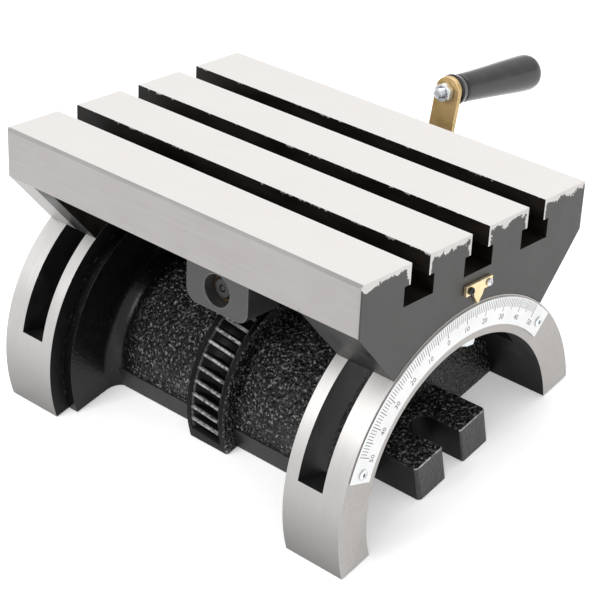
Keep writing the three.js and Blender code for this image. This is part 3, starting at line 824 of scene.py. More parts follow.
@dataclass(frozen=True)
class ChippedPaint(Finish):
    """Paint on the table's ends, chipped back along the ground top and the slot mouths.

    Attributes:
        top: the height of the ground top over the tilt axis.
        pitch: the distance between slots.
        half_mouth: half a slot's width at the top.
        mouth_depth: how deep the narrow part of a slot is.
        reach: how far the deepest chips go.
        always: how wide the bare strip is at least.
        mouths: whether the chips also run down beside the slot mouths.
    """

    top: float = 136.0
    pitch: float = 46.5
    half_mouth: float = 7.0
    mouth_depth: float = 11.5
    reach: float = 4.2
    always: float = 1.3
    mouths: bool = True

    def mask(self, sheet: NodeSheet, spot: Socket) -> Socket | None:
        """Returns where the chips show, by the distance from the top edge and the slot mouths."""
        split = sheet.add("SeparateXYZ", {0: spot})
        down = sheet.math("SUBTRACT", self.top, split.outputs["Z"])
        across = sheet.math("ADD", sheet.math("DIVIDE", split.outputs["Y"], self.pitch), 10.5)
        across = sheet.math("SUBTRACT", sheet.math("FRACT", across), 0.5)
        across = sheet.math("MULTIPLY", sheet.math("ABSOLUTE", across), self.pitch)
        beside = sheet.math("SUBTRACT", across, self.half_mouth)
        below_mouth = sheet.math("GREATER_THAN", down, self.mouth_depth)
        outside = sheet.math("GREATER_THAN", sheet.math("ABSOLUTE", split.outputs["Y"]), 1.5 * self.pitch)
        hidden = sheet.math("MULTIPLY", sheet.math("ADD", below_mouth, outside), 50.0)
        beside = sheet.math("ADD", sheet.math("MULTIPLY", beside, 1.7), hidden)
        distance = sheet.math("MINIMUM", down, beside) if self.mouths else down
        group = sheet.add("Group", node_tree=Groups.get("edge_chips"))
        sheet.tree.links.new(spot, group.inputs["Vector"])
        sheet.tree.links.new(distance, group.inputs["Distance"])
        group.inputs["Reach"].default_value = self.reach
        group.inputs["Bare"].default_value = self.always
        return group.outputs["Mask"]


@dataclass(frozen=True)
class CutTeeth(Finish):
    """Dark cut teeth whose crests are painted bright, as metal rubbed by the worm and as painted highlights.

    Attributes:
        crest: the radius over which the crests are bright.
        half_width: how far each side of the middle the worm reaches.
        low_end: the height over the tilt axis where the teeth end.
    """

    crest: float = 61.2
    half_width: float = 10.6
    low_end: float = 2.0

    def mask(self, sheet: NodeSheet, spot: Socket) -> Socket | None:
        """Returns where the crests are painted bright, as rubbed metal and painted highlight, by radius, width and
        a ragged noise.
        """
        split = sheet.add("SeparateXYZ", {0: spot})
        squares = [sheet.math("MULTIPLY", split.outputs[axis], split.outputs[axis]) for axis in ("Y", "Z")]
        radius = sheet.math("SQRT", sheet.math("ADD", *squares))
        high = sheet.spread(radius, self.crest - 0.5, self.crest + 0.2)
        aside = sheet.math("ABSOLUTE", split.outputs["X"])
        inside = sheet.spread(aside, self.half_width - 2.0, self.half_width, 1.0, 0.0)
        ragged = sheet.spread(sheet.noise(spot, 0.5, 3.0, 0.6), 0.36, 0.6, 0.15, 1.0)
        exposed = sheet.spread(split.outputs["Z"], self.low_end, self.low_end + 3.0)
        # Rubbed metal and painted highlight on the crests, within the worm's reach.
        rubbed_and_highlit = sheet.math("MULTIPLY", high, inside)
        return sheet.math("MULTIPLY", rubbed_and_highlit, sheet.math("MULTIPLY", ragged, exposed))


class Paintbox:
    """All the finishes of this object, made on demand for each frame."""

    ground = Finish(
        "ground_iron", (0.64, 0.62, 0.605), (0.675, 0.657, 0.642), metallic=0.12, smooth=0.5, rough=0.6,
        pattern=Pattern.GROUND, stretch=(0.02, 0.5, 0.5), relief=0.04, depth=0.02, specular=0.3,
        rubbed=0.5, bare=(0.76, 0.745, 0.73),
    )
    # Painted shade: the same ground iron as the top, made darker for the table's long sides and chamfers.
    ground_shaded_side = Finish(
        "ground_iron_shaded_side", (0.30, 0.287, 0.282), (0.375, 0.362, 0.357), metallic=0.55,
        smooth=0.4, rough=0.52, pattern=Pattern.GROUND, stretch=(0.02, 0.5, 0.5), relief=0.06, depth=0.03,
    )
    # ground_rim: its foot colour is painted shade, darker towards the floor where the low faces reflect the dark
    # surroundings.
    rim = Finish(
        "ground_rim", (0.50, 0.485, 0.475), (0.62, 0.605, 0.595), metallic=0.6, smooth=0.34, rough=0.46,
        pattern=Pattern.GROUND, stretch=(1.6, 0.05, 0.05), relief=0.16, depth=0.05,
        foot=(0.08, 0.076, 0.074), foot_top=66.0,
    )
    arch_face = Finish(
        "arch_face", (0.35, 0.333, 0.321), (0.44, 0.42, 0.405), metallic=0.4, smooth=0.38, rough=0.52,
        pattern=Pattern.GROUND, stretch=(0.3, 0.3, 0.3), relief=0.08, depth=0.04,
        rubbed=0.5, bare=(0.8, 0.78, 0.76),
    )
    end_paint = ChippedPaint(
        "end_paint", (0.036, 0.0347, 0.0338), (0.047, 0.045, 0.044), smooth=0.42, rough=0.56,
        relief=0.15, depth=0.05, bare=(0.58, 0.565, 0.55), always=2.1, reach=3.6,
    )
    # Painted shade: a near-black colour for the cheeks' slanted faces under the table, where shade falls.
    cheek_shade = Finish(
        "cheek_shade", (0.006, 0.0057, 0.0054), (0.028, 0.0265, 0.0258), smooth=0.4, rough=0.55,
        stretch=(0.6, 0.6, 0.6), relief=0.2, depth=0.1, specular=0.25,
    )
    # Painted shade: a near-black colour for the slots, the table's underside and its seat, where shade falls; the
    # chips at the slot lips are real wear.
    recess_shade_black = ChippedPaint(
        "recess_shade_black", (0.003, 0.0027, 0.0024), (0.012, 0.009, 0.007), smooth=0.4, rough=0.6, specular=0.15,
        relief=0.35, depth=0.2, reach=2.2, always=-1.15, bare=(0.62, 0.60, 0.58),
        stretch=(0.25, 1.0, 1.0), mouths=False,
    )
    # The enamel's lighter second colour paints glints on the pebbled skin, together with dust and thin spots; the
    # lug tops keep them, and the lug sides and arch hollows get deep enamel without them.
    enamel = Finish(
        "cast_enamel", (0.0022, 0.0022, 0.0023), (0.27, 0.27, 0.262), smooth=0.26, rough=0.34,
        pattern=Pattern.CAST, relief=1.0, depth=2.6, specular=0.32,
        rubbed=0.3, bare=(0.10, 0.10, 0.10), calm=(60.0, 74.0, 88.6),
    )
    lug_skin = replace(enamel, name="lug_enamel", calm=None)
    deep = Finish(
        "deep_enamel", (0.002, 0.002, 0.002), (0.007, 0.007, 0.007), smooth=0.38, rough=0.55, specular=0.2,
        pattern=Pattern.MOTTLE, relief=0.4, depth=0.3, rubbed=0.5, bare=(0.16, 0.16, 0.16),
    )
    band = Finish(
        "smooth_enamel", (0.007, 0.007, 0.007), (0.018, 0.018, 0.018), smooth=0.36, rough=0.54, specular=0.3,
        pattern=Pattern.MOTTLE, relief=0.3, depth=0.3, rubbed=0.4, bare=(0.1, 0.1, 0.1),
    )
    lug_end = Finish(
        "lug_end", (0.020, 0.020, 0.021), (0.07, 0.07, 0.071), smooth=0.35, rough=0.55,
        pattern=Pattern.CAST, relief=0.5, depth=0.6, rubbed=1.0, bare=(0.5, 0.5, 0.5),
    )
    # cut_teeth: its bare colour paints the crests bright, as rubbed metal and as painted highlights.
    teeth = CutTeeth(
        "cut_teeth", (0.0015, 0.0015, 0.0015), (0.004, 0.004, 0.004), smooth=0.3, rough=0.5,
        pattern=Pattern.GROUND, stretch=(0.2, 1.0, 1.0), relief=0.2, depth=0.1, bare=(0.40, 0.40, 0.40),
        specular=0.1,
    )
    plate_white = Finish(
        "scale_plate", (0.74, 0.74, 0.745), (0.82, 0.82, 0.825), metallic=0.15, smooth=0.35, rough=0.48,
        relief=0.05, depth=0.02,
    )
    ink = Finish(
        "scale_ink", (0.035, 0.035, 0.036), (0.11, 0.11, 0.11), smooth=0.45, rough=0.6, stretch=(3.0,) * 3
    )
    grey_paint = Finish(
        "grey_paint", (0.040, 0.040, 0.041), (0.055, 0.055, 0.056), smooth=0.38, rough=0.55,
        relief=0.25, depth=0.25, rubbed=0.7, bare=(0.2, 0.2, 0.2),
    )
    brass = Finish(
        "brass", (0.72, 0.55, 0.30), (0.86, 0.72, 0.46), metallic=0.9, smooth=0.26, rough=0.42,
        stretch=(2.0,) * 3, relief=0.15, depth=0.05, rubbed=0.5, bare=(0.95, 0.86, 0.66),
    )
    bright_zinc = Finish(
        "bright_zinc", (0.62, 0.65, 0.68), (0.82, 0.85, 0.87), metallic=0.95, smooth=0.18, rough=0.34,
        stretch=(2.5,) * 3, relief=0.12, depth=0.04, rubbed=0.4, bare=(0.9, 0.9, 0.9),
    )
    yellow_zinc = Finish(
        "yellow_zinc", (0.42, 0.285, 0.105), (0.60, 0.41, 0.19), metallic=0.6, smooth=0.3, rough=0.42,
        stretch=(0.8,) * 3, relief=0.08, depth=0.03, rubbed=0.9, bare=(0.82, 0.66, 0.38),
    )
    dark_steel = Finish(
        "dark_steel", (0.02, 0.02, 0.021), (0.045, 0.045, 0.046), metallic=0.7, smooth=0.3, rough=0.45,
        stretch=(1.5,) * 3, relief=0.12, depth=0.05, rubbed=0.6, bare=(0.25, 0.25, 0.25),
    )
    bronze = Finish(
        "bearing_bronze", (0.13, 0.085, 0.05), (0.24, 0.16, 0.09), metallic=0.85, smooth=0.28, rough=0.42,
        stretch=(1.5,) * 3, relief=0.1, depth=0.05,
    )
    shaft_steel = Finish(
        "turned_steel", (0.42, 0.42, 0.43), (0.58, 0.58, 0.59), metallic=0.95, smooth=0.22, rough=0.38,
        pattern=Pattern.GROUND, stretch=(0.2, 1.4, 0.2), relief=0.15, depth=0.05,
    )
    plastic = Finish(
        "black_plastic", (0.012, 0.0115, 0.0115), (0.024, 0.023, 0.0225), smooth=0.14, rough=0.26,
        stretch=(1.4,) * 3, relief=0.12, depth=0.08,
    )

    def __init__(self) -> None:
        """Starts with nothing made."""
        self.made: dict[tuple[str, str], Material] = {}

    def mix(self, finish: Finish, place: Matrix) -> Material:
        """Returns a finish for one frame, made on first use.

        Args:
            finish: the finish.
            place: the frame of the piece that gets it.

        Returns:
            The material.
        """
        key = (finish.name, str(place))
        if key not in self.made:
            self.made[key] = finish.make(place)
        return self.made[key]

    def dress(
        self,
        shape: Shape,
        name: str,
        place: Matrix,
        finishes: Sequence[Finish],
        home: Home,
        *stands_for: str,
        chooser: Chooser | None = None,
    ) -> None:
        """Turns a shape into a finished piece, mounts it and hides the CAD nodes it stands for.

        Args:
            shape: the shape, in millimetres in its own frame.
            name: the piece's name.
            place: the frame it was drawn in.
            finishes: its finishes.
            home: the body it rides on and the record's material slot, which is not used.
            stands_for: the CAD nodes that it replaces.
            chooser: picks a finish's place in the list from a face's centre and direction.
        """
        piece = settle(shape, name, place, [self.mix(finish, place) for finish in finishes], chooser)
        body, slot = home
        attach(piece, body)
        if stands_for:
            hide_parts(*stands_for)
        log.info("%s rides on %s and stands for %s", name, body, ", ".join(stands_for) or "nothing")


# ---- base --------------------------------------------------------------------------------------------


@dataclass
class Base:
    """The base casting: drum with toothed band, two half-round arches and two slotted lugs.

    Attributes:
        half_length: half the length along the tilt axis.
        axis_height: the tilt axis over the floor.
        outer: the arches' outer radius.
        inner: the arches' inner radius.
        arch_width: an arch's width along the axis.
        inset: how wide the outer rib beside the clamp slot is.
        slot_width: the clamp slot's width.
        slot_angle: how far the clamp slot reaches each side of straight up.
        sweep_limit: how far the arch is swept each side before the floor cuts it off.
        edge: how far the machined edges are rounded.
        web: the side webs' thickness.
        web_radius: the side webs' radius.
        drum: the drum's radius.
        fillet: the rounding between drum and web.
        skirt_height: the height of the straight foot.
        skirt_half: half the width of the straight foot.
        band_half: half the width of the toothed band.
        lug_half: half a hold-down lug's width.
        lug_height: its height.
        lug_reach: how far it stands out from the web.
        lug_slot: the width of its slot.
        lug_slot_depth: how deep the slot goes.
        lug_corner: the rounding of a lug's upright corners.
        lug_slot_corner: the rounding at the slot's mouth.
        lug_edge: the rounding round a lug's top.
        web_edge: the rounding of a web's outer edge.
        overlap: how far the castings' parts reach into each other.
    """

    half_length: float = 127.0
    axis_height: float = 6.0
    outer: float = 95.0
    inner: float = 74.0
    arch_width: float = 38.0
    inset: float = 13.5
    slot_width: float = 16.5
    slot_angle: float = 65.5
    sweep_limit: float = 112.0
    edge: float = 0.8
    web: float = 8.0
    web_radius: float = 85.5
    drum: float = 53.0
    fillet: float = 9.0
    skirt_height: float = 13.0
    skirt_half: float = 53.8
    band_half: float = 14.5
    lug_half: float = 29.0
    lug_height: float = 22.0
    lug_reach: float = 33.5
    lug_slot: float = 14.5
    lug_slot_depth: float = 27.0
    lug_corner: float = 2.4
    lug_slot_corner: float = 1.2
    lug_edge: float = 2.6
    web_edge: float = 1.6
    overlap: float = 1.0

    def floor_cut(self, shape: Shape) -> Shape:
        """Cuts a shape drawn round the tilt axis off at the floor."""
        return cut_away(shape, Vector((0.0, 0.0, -self.axis_height)), Vector((0.0, 0.0, -1.0)))

    def arch(self, side: float) -> Shape:
        """Sweeps one arch round the tilt axis, with its clamp slot open.

        Args:
            side: 1 for the end with the scale and -1 for the other.

        Returns:
            The closed arch.
        """
        stations = [self.half_length - self.arch_width]
        stations += [self.half_length - self.inset - self.slot_width]
        stations += [self.half_length - self.inset, self.half_length]
        whole = [(x, self.inner) for x in stations] + [(x, self.outer) for x in reversed(stations)]
        near_rib = [(stations[0], self.inner), (stations[1], self.inner)]
        near_rib += [(stations[1], self.outer), (stations[0], self.outer)]
        far_rib = [(stations[2], self.inner), (stations[3], self.inner)]
        far_rib += [(stations[3], self.outer), (stations[2], self.outer)]
        limit = self.sweep_limit
        shape = bmesh.new()
        for start, end, sections, steps in (
            (-limit, -self.slot_angle, [whole], 16),
            (-self.slot_angle, self.slot_angle, [near_rib, far_rib], 48),
            (self.slot_angle, limit, [whole], 16),
        ):
            for section in sections:
                self.sweep(shape, section, start, end, steps)
        for angle in (-self.slot_angle, self.slot_angle):
            slot_end = [(stations[1], self.inner), (stations[2], self.inner)]
            slot_end += [(stations[2], self.outer), (stations[1], self.outer)]
            shape.faces.new([shape.verts.new(self.around(x, r, angle)) for x, r in slot_end])
        square_up(shape)
        self.floor_cut(shape)
        soften(shape, self.edge)
        return laid(shape, Matrix.Diagonal((side, 1.0, 1.0, 1.0)))

    @staticmethod
    def around(x: float, radius: float, angle: float) -> Vector:
        """Returns a point at a radius from the tilt axis, at an angle from straight up."""
        return Vector((x, radius * math.sin(math.radians(angle)), radius * math.cos(math.radians(angle))))

    def sweep(self, shape: Shape, section: list[Point], start: float, end: float, steps: int) -> None:
        """Sweeps a closed section of (x, radius) points from one angle to another.

        Args:
            shape: the shape it is added to.
            section: the section.
            start: the first angle from straight up, in degrees.
            end: the last angle.
            steps: how many faces it takes.
        """
        verts = [shape.verts.new(self.around(x, r, start)) for x, r in section]
        edges = [shape.edges.new(pair) for pair in zip(verts, verts[1:] + verts[:1])]
        bmesh.ops.spin(
            shape,
            geom=verts + edges,
            cent=ORIGIN,
            axis=(1.0, 0.0, 0.0),
            angle=-math.radians(end - start),
            steps=steps,
            use_merge=False,
        )

    def barrel(self) -> Shape:
        """Turns the drum with its two side webs and cuts it off at the floor."""
        web_outer = self.half_length - self.arch_width + self.overlap
        web_inner = web_outer - self.web
        half = [(web_outer, 0.0), (web_outer, self.web_radius), (web_inner, self.web_radius)]
        steps = 6
        middle = web_inner - self.fillet
        for step in range(steps + 1):
            angle = math.pi / 2.0 * step / steps
            rise = self.fillet * math.sin(angle)
            half.append((middle + self.fillet * math.cos(angle), self.drum + self.fillet - rise))
        outline = [(-x, r) for x, r in half] + [(x, r) for x, r in reversed(half)]
        shape = laid(turned(outline, steps=128), Lie.ALONG_X.value)
        self.floor_cut(shape)
        short = self.web_radius - self.drum + self.fillet
        return soften(shape, self.web_edge, segments=3, chosen=lambda edge: edge.calc_length() < short)

    def skirt(self) -> Shape:
        """Makes the straight foot under the drum."""
        inside = self.half_length - self.arch_width - self.web + 2.0 * self.overlap
        corners = [(-inside, -self.skirt_half, 0.0), (inside, -self.skirt_half, 0.0)]
        corners += [(inside, self.skirt_half, 0.0), (-inside, self.skirt_half, 0.0)]
        shape = plate(corners, self.skirt_height)
        soften(shape, self.edge)
        return laid(shape, Matrix.Translation((0.0, 0.0, -self.axis_height)))

    def lug(self, side: float) -> Shape:
        """Makes one hold-down lug with its open slot.

        Args:
            side: 1 for the end with the scale and -1 for the other.

        Returns:
            The closed lug.
        """
        start = self.half_length - self.arch_width - self.overlap
        end = start + 2.0 * self.overlap + self.lug_reach
        bottom = end - self.lug_slot_depth
        half_slot = self.lug_slot / 2.0
        round_end = half_slot - 0.05
        near_half = [(start, self.lug_half, 0.0), (end, self.lug_half, self.lug_corner)]
        near_half += [(end, half_slot, self.lug_slot_corner), (bottom, half_slot, round_end)]
        corners = [(x, -y, radius) for x, y, radius in near_half] + near_half[::-1]
        shape = plate(corners, self.lug_height, rounding=6)
        top = self.lug_height - 0.1

        def upper(edge: Edge) -> bool:
            """Picks the edges round the top."""
            return min(vert.co.z for vert in edge.verts) > top

        soften(shape, self.lug_edge, segments=4, chosen=upper)
        placed = Matrix.Diagonal((side, 1.0, 1.0, 1.0)) @ Matrix.Translation((0.0, 0.0, -self.axis_height))
        return laid(shape, placed)

    def toothed_band(self) -> Shape:
        """Takes the worm-wheel teeth from the casting, as cut."""
        shape = cast_copy("base_casting", FRAMES.axis)
        for side in (-1.0, 1.0):
            outward = Vector((side, 0.0, 0.0))
            cut_away(shape, outward * self.band_half, outward)
        return shape

    def arch_surface(self, centre: Vector, normal: Vector) -> int:
        """Picks an arch's finish: 0 ground rim, 1 side face, 2 enamel, 3 slot paint."""
        radial = Vector((0.0, centre.y, centre.z)).normalized().dot(normal)
        if abs(centre.x) > self.half_length - 1.0 and abs(normal.x) > 0.4:
            return 1
        if radial > 0.4 and Vector((0.0, centre.y, centre.z)).length > self.outer - 1.5:
            return 0
        inner_face = self.half_length - self.arch_width
        if abs(normal.x) > 0.4 and abs(centre.x) > inner_face + 2.0:
            return 3
        slot_middle = abs(abs(centre.x) - (self.half_length - self.inset - self.slot_width / 2.0))
        if slot_middle < self.slot_width / 2.0 - 1.0 and abs(radial) < 0.4 and abs(normal.x) < 0.4:
            return 3
        return 2

    def band_surface(self, centre: Vector, normal: Vector) -> int:
        """Picks the toothed band's finish: 0 cut teeth, 1 smooth enamel on its sides."""
        return 1 if abs(normal.x) > 0.6 and abs(centre.x) > self.band_half - 1.1 else 0

    def lug_surface(self, centre: Vector, normal: Vector) -> int:
        """Picks a lug's finish: 0 rough enamel with painted glints on top, 1 the worn end, 2 the smoother sides
        without them.
        """
        end = self.half_length - self.arch_width + self.overlap + self.lug_reach
        if abs(centre.x) > end - 3.0 and abs(normal.x) > 0.2:
            return 1
        return 0 if normal.z > 0.5 else 2

    def build(self, paint: Paintbox) -> None:
        """Builds and dresses the base.

        Args:
            paint: the finishes.
        """
        axis = FRAMES.axis
        iron = ("base", "cast_iron_black")
        rim = [paint.rim, paint.arch_face, paint.deep, paint.band]
        lug = [paint.lug_skin, paint.lug_end, paint.deep]
        paint.dress(self.barrel(), "base_drum", axis, [paint.enamel], iron, "base_casting")
        paint.dress(self.skirt(), "base_foot", axis, [paint.band], iron)
        for side, name in ((-1.0, "left"), (1.0, "right")):
            ground = ("base", "ground_iron")
            paint.dress(self.arch(side), f"arch_{name}", axis, rim, ground, chooser=self.arch_surface)
            paint.dress(self.lug(side), f"lug_{name}", axis, lug, iron, chooser=self.lug_surface)
        teeth = [paint.teeth, paint.enamel]
        paint.dress(self.toothed_band(), "toothed_band", axis, teeth, iron, chooser=self.band_surface)


@dataclass
class DegreeScale:
    """The white degree plate on the end of the base, with its lines, numbers and rivets.

    Attributes:
        face: where the plate's face stands on X.
        inner: the plate's inner radius.
        outer: the plate's outer radius.
        limit: the last degree with a line.
        stand: how far the lines stand out of the plate.
        lengths: the lengths of the lines at tens, at fives and between.
        widths: the widths of the lines at fives and between.
        margin: how far the lines stay from the plate's outer edge.
        number_radius: the radius of the numbers' middle.
        number_size: the height of the numbers.
        rivet_angle: where the rivets are.
        rivet_head: the radius of a rivet's head.
    """

    face: float = 128.2
    inner: float = 78.8
    outer: float = 93.8
    limit: int = 50
    stand: float = 0.04
    lengths: Corner = (7.4, 6.2, 4.9)
    widths: Point = (0.4, 0.32)
    margin: float = 0.5
    number_radius: float = 83.0
    number_size: float = 4.3
    rivet_angle: float = 55.8
    rivet_head: float = 2.8

    def lines(self) -> Shape:
        """Makes the degree lines: long at tens, middling at fives and short between."""
        shape = bmesh.new()
        for degree in range(-self.limit, self.limit + 1):
            length = self.lengths[0 if degree % 10 == 0 else 1 if degree % 5 == 0 else 2]
            width = self.widths[0 if degree % 5 == 0 else 1]
            middle = self.outer - self.margin - length / 2.0
            size = Matrix.Diagonal((2.0 * self.stand, width, length, 1.0))
            turn = Matrix.Rotation(-math.radians(degree), 4, "X")
            place = turn @ Matrix.Translation((self.face, 0.0, middle)) @ size
            bmesh.ops.create_cube(shape, size=1.0, matrix=place)
        return shape

    def number(self, degree: int) -> Shape:
        """Makes one number, standing with its head outwards.

        Args:
            degree: where it stands; its size is what is written.

        Returns:
            The number as a thin raised shape.
        """
        text = bpy.data.curves.new("number", "FONT")
        text.body = str(abs(degree))
        text.align_x = "CENTER"
        text.align_y = "CENTER"
        text.size = self.number_size
        text.extrude = self.stand
        text.resolution_u = 2
        holder = bpy.data.objects.new("number", text)
        mesh = bpy.data.meshes.new_from_object(holder)
        shape = bmesh.new()
        shape.from_mesh(mesh)
        bpy.data.objects.remove(holder)
        bpy.data.curves.remove(text)
        bpy.data.meshes.remove(mesh)
        square_up(shape)
        turn = Matrix.Rotation(-math.radians(degree), 4, "X")
        middle = Matrix.Translation((self.face, 0.0, self.number_radius))
        return laid(shape, turn @ middle @ Lie.ALONG_X.value)

    def rivet(self, side: float) -> Shape:
        """Makes one tubular rivet, rolled over at its rim.

        Args:
            side: -1 for the near one and 1 for the far one.

        Returns:
            The closed rivet.
        """
        head = self.rivet_head
        outline = [(-4.0, 0.6), (-4.0, 1.6), (0.0, 1.6), (0.0, head), (0.35, head), (0.8, 0.72 * head)]
        outline += [(0.9, 0.5 * head), (0.55, 0.36 * head), (-0.6, 0.3 * head)]
        shape = turned(outline, steps=32, ring=True)
        turn = Matrix.Rotation(-math.radians(side * self.rivet_angle), 4, "X")
        middle = (self.inner + self.outer) / 2.0
        stand = turn @ Matrix.Translation((self.face + 0.3, 0.0, middle)) @ Lie.ALONG_X.value
        return laid(shape, stand)

    def build(self, paint: Paintbox) -> None:
        """Builds and dresses the scale.

        Args:
            paint: the finishes.
        """
        axis = FRAMES.axis
        white = ("base", "scale_plate")
        shell = soften(cast_copy("degree_scale", axis), 0.15, segments=1, clamp=False)
        paint.dress(shell, "degree_plate", axis, [paint.plate_white], white, "degree_scale")
        paint.dress(self.lines(), "degree_lines", axis, [paint.ink], white)
        numbers = merged([self.number(degree) for degree in range(-self.limit, self.limit + 1, 10)])
        paint.dress(numbers, "degree_numbers", axis, [paint.ink], white)
        for side, name in ((-1.0, "near"), (1.0, "far")):
            node = f"scale_rivet_{name}"
            home = ("base", "bright_zinc")
            paint.dress(self.rivet(side), f"plate_rivet_{name}", axis, [paint.bright_zinc], home, node)


# ---- table -------------------------------------------------------------------------------------------


@dataclass
class Table:
    """The slotted table with the cheeks that ride on the arches.

    Attributes:
        half_length: half the length along the slots.
        half_width: half the width across them.
        top: the height of the ground top over the tilt axis.
        thickness: the plate's thickness.
        chamfer: the chamfer along the top's long edges.
        pitch: the distance between slots.
        neck: half a slot's width at the top.
        neck_depth: how deep the narrow part is.
        head: half a slot's width below.
        head_depth: how deep the wide part is.
        cheek: a cheek's width along the axis.
        seat: the radius of the cheeks' round seat.
        seat_angle: how far round the seat reaches from straight up.
        bare_cheek: how far out on the plain end the cheek's slanted faces keep the ground iron; further in they
            get painted shade.
    """

    half_length: float = 127.0
    half_width: float = 90.0
    top: float = 136.0
    thickness: float = 28.0
    chamfer: float = 1.6
    pitch: float = 46.5
    neck: float = 7.0
    neck_depth: float = 11.5
    head: float = 11.25
    head_depth: float = 11.0
    cheek: float = 38.0
    seat: float = 95.3
    seat_angle: float = 39.3
    bare_cheek: float = 105.0

    def upper_outline(self) -> list[Point]:
        """Lists the outline's points over the plate's underside, from the right edge to the left."""
        points = [(self.half_width, self.top - self.chamfer), (self.half_width - self.chamfer, self.top)]
        shoulder = self.top - self.neck_depth
        floor = shoulder - self.head_depth
        for middle in (self.pitch, 0.0, -self.pitch):
            points += [(middle + self.neck, self.top), (middle + self.neck, shoulder)]
            points += [(middle + self.head, shoulder), (middle + self.head, floor)]
            points += [(middle - self.head, floor), (middle - self.head, shoulder)]
            points += [(middle - self.neck, shoulder), (middle - self.neck, self.top)]
        points += [(self.chamfer - self.half_width, self.top), (-self.half_width, self.top - self.chamfer)]
        return points

    def seat_outline(self) -> list[Point]:
        """Lists the round seat's points from the left foot to the right one."""
        steps = 28
        points = []
        for step in range(steps + 1):
            angle = math.radians(self.seat_angle * (2.0 * step / steps - 1.0))
            points.append((self.seat * math.sin(angle), self.seat * math.cos(angle)))
        return points

    def body(self) -> Shape:
        """Builds the plate and its cheeks as one closed shape."""
        under = self.top - self.thickness
        shape = bmesh.new()
        inner = self.half_length - self.cheek
        stations = [-self.half_length, -inner, inner, self.half_length]
        outline = [(-self.half_width, under), (self.half_width, under), *self.upper_outline()]
        rings = [[shape.verts.new((x, v, w)) for v, w in outline] for x in stations]
        seats = [[shape.verts.new((x, v, w)) for v, w in self.seat_outline()] for x in stations]
        cheeks = [[ring[0], *seat, ring[1]] for ring, seat in zip(rings, seats)]

        def skin(first: list[bmesh.types.BMVert], second: list[bmesh.types.BMVert]) -> None:
            """Lays faces between two rows of points."""
            for (a, b), (c, d) in zip(zip(first, first[1:]), zip(second, second[1:])):
                shape.faces.new((a, b, d, c))

        for first, second in zip(rings, rings[1:]):
            skin(first[1:] + first[:1], second[1:] + second[:1])
        skin(rings[1][:2], rings[2][:2])
        for low, high in ((0, 1), (2, 3)):
            skin(cheeks[low], cheeks[high])
        for station in (0, 3):
            shape.faces.new(cheeks[station][:-1] + rings[station][1:])
        for station in (1, 2):
            shape.faces.new(cheeks[station])
        square_up(shape)

        def long_end(edge: Edge) -> bool:
            """Picks the upright corners at the plate's ends."""
            first, second = (vert.co for vert in edge.verts)
            upright = abs(first.z - second.z) > 20.0 and abs(first.x - second.x) < 1.0
            return upright and abs(first.y) > self.half_width - 1.0

        soften(shape, 2.2, segments=4, chosen=long_end)
        soften(shape, 0.55, segments=2)
        return split_at(shape, Vector((-self.bare_cheek, 0.0, 0.0)), Vector((1.0, 0.0, 0.0)))

    def surface(self, centre: Vector, normal: Vector) -> int:
        """Picks the finish: 0 ground top, 1 ground sides in painted shade, 2 end paint, 3 near-black painted shade
        in the slots and underneath, 4 near-black painted shade on the cheeks.
        """
        across, along = abs(centre.y), abs(centre.x)
        underside = self.top - self.thickness
        # Painted shade: the chamfers here and the long sides below get the darker copy of the ground iron.
        if centre.z > self.top - self.chamfer and across > self.half_width - self.chamfer - 0.2:
            return 1
        if normal.z > 0.6 and centre.z > self.top - 1.2:
            return 0
        if along > self.half_length - 0.4 and abs(normal.x) > 0.6:
            return 2
        outside = across > self.half_width - 1.8 and centre.z > underside - 0.6
        if outside and max(abs(normal.y), abs(normal.x)) > 0.3:
            return 1
        # The cheeks' slanted faces keep the ground iron out on the plain end and get near-black painted shade
        # further in.
        slant = centre.z < underside and abs(normal.y) > 0.4
        beyond_seat = Vector((0.0, centre.y, centre.z)).length > self.seat + 0.7
        if slant and beyond_seat and along > self.half_length - self.cheek - 0.3:
            return 1 if centre.x < -self.bare_cheek else 4
        # Everything left, the slots, the underside and the seat, gets the near-black painted shade.
        lip = centre.z > self.top - 0.7 and normal.z > 0.15
        return 0 if lip else 3

    def build(self, paint: Paintbox) -> None:
        """Builds and dresses the table.

        Args:
            paint: the finishes.
        """
        place = FRAMES.table
        finishes = [paint.ground, paint.ground_shaded_side, paint.end_paint, paint.recess_shade_black, paint.cheek_shade]
        iron = ("table", "ground_iron")
        paint.dress(self.body(), "table_body", place, finishes, iron, "table_casting", chooser=self.surface)
        pointer = soften(cast_copy("pointer", place), 0.3, segments=2, clamp=False)
        paint.dress(pointer, "pointer_plate", place, [paint.brass], ("table", "pointer_brass"), "pointer")
        for name, finish in (("near", paint.dark_steel), ("far", paint.bright_zinc)):
            node = f"pointer_screw_{name}"
            home = ("table", "bright_zinc")
            paint.dress(self.pointer_screw(node), f"pointer_bolt_{name}", place, [finish], home, node)

    @staticmethod
    def pointer_screw(node: str) -> Shape:
        """Turns one pointer screw with a socket in its domed head.

        Args:
            node: the CAD node that it stands for, which gives its place and length.

        Returns:
            The closed screw.
        """
        low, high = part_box(node)
        middle = FRAMES.table.inverted() @ ((low + high) / 2.0)
        reach = (high.x - low.x) / MILLIMETRE / 2.0
        shank, head = 1.1, 2.05
        rim, dome, socket = reach - 1.6, reach - 0.9, reach - 0.7
        outline = [(-reach, 0.0), (-reach, shank), (rim, shank), (rim, head), (dome, head)]
        outline += [(reach - 0.35, 0.78 * head), (reach, 0.45 * head), (socket, 0.3 * head), (socket, 0.0)]
        return laid(turned(outline, steps=28), Matrix.Translation(middle) @ Lie.ALONG_X.value)


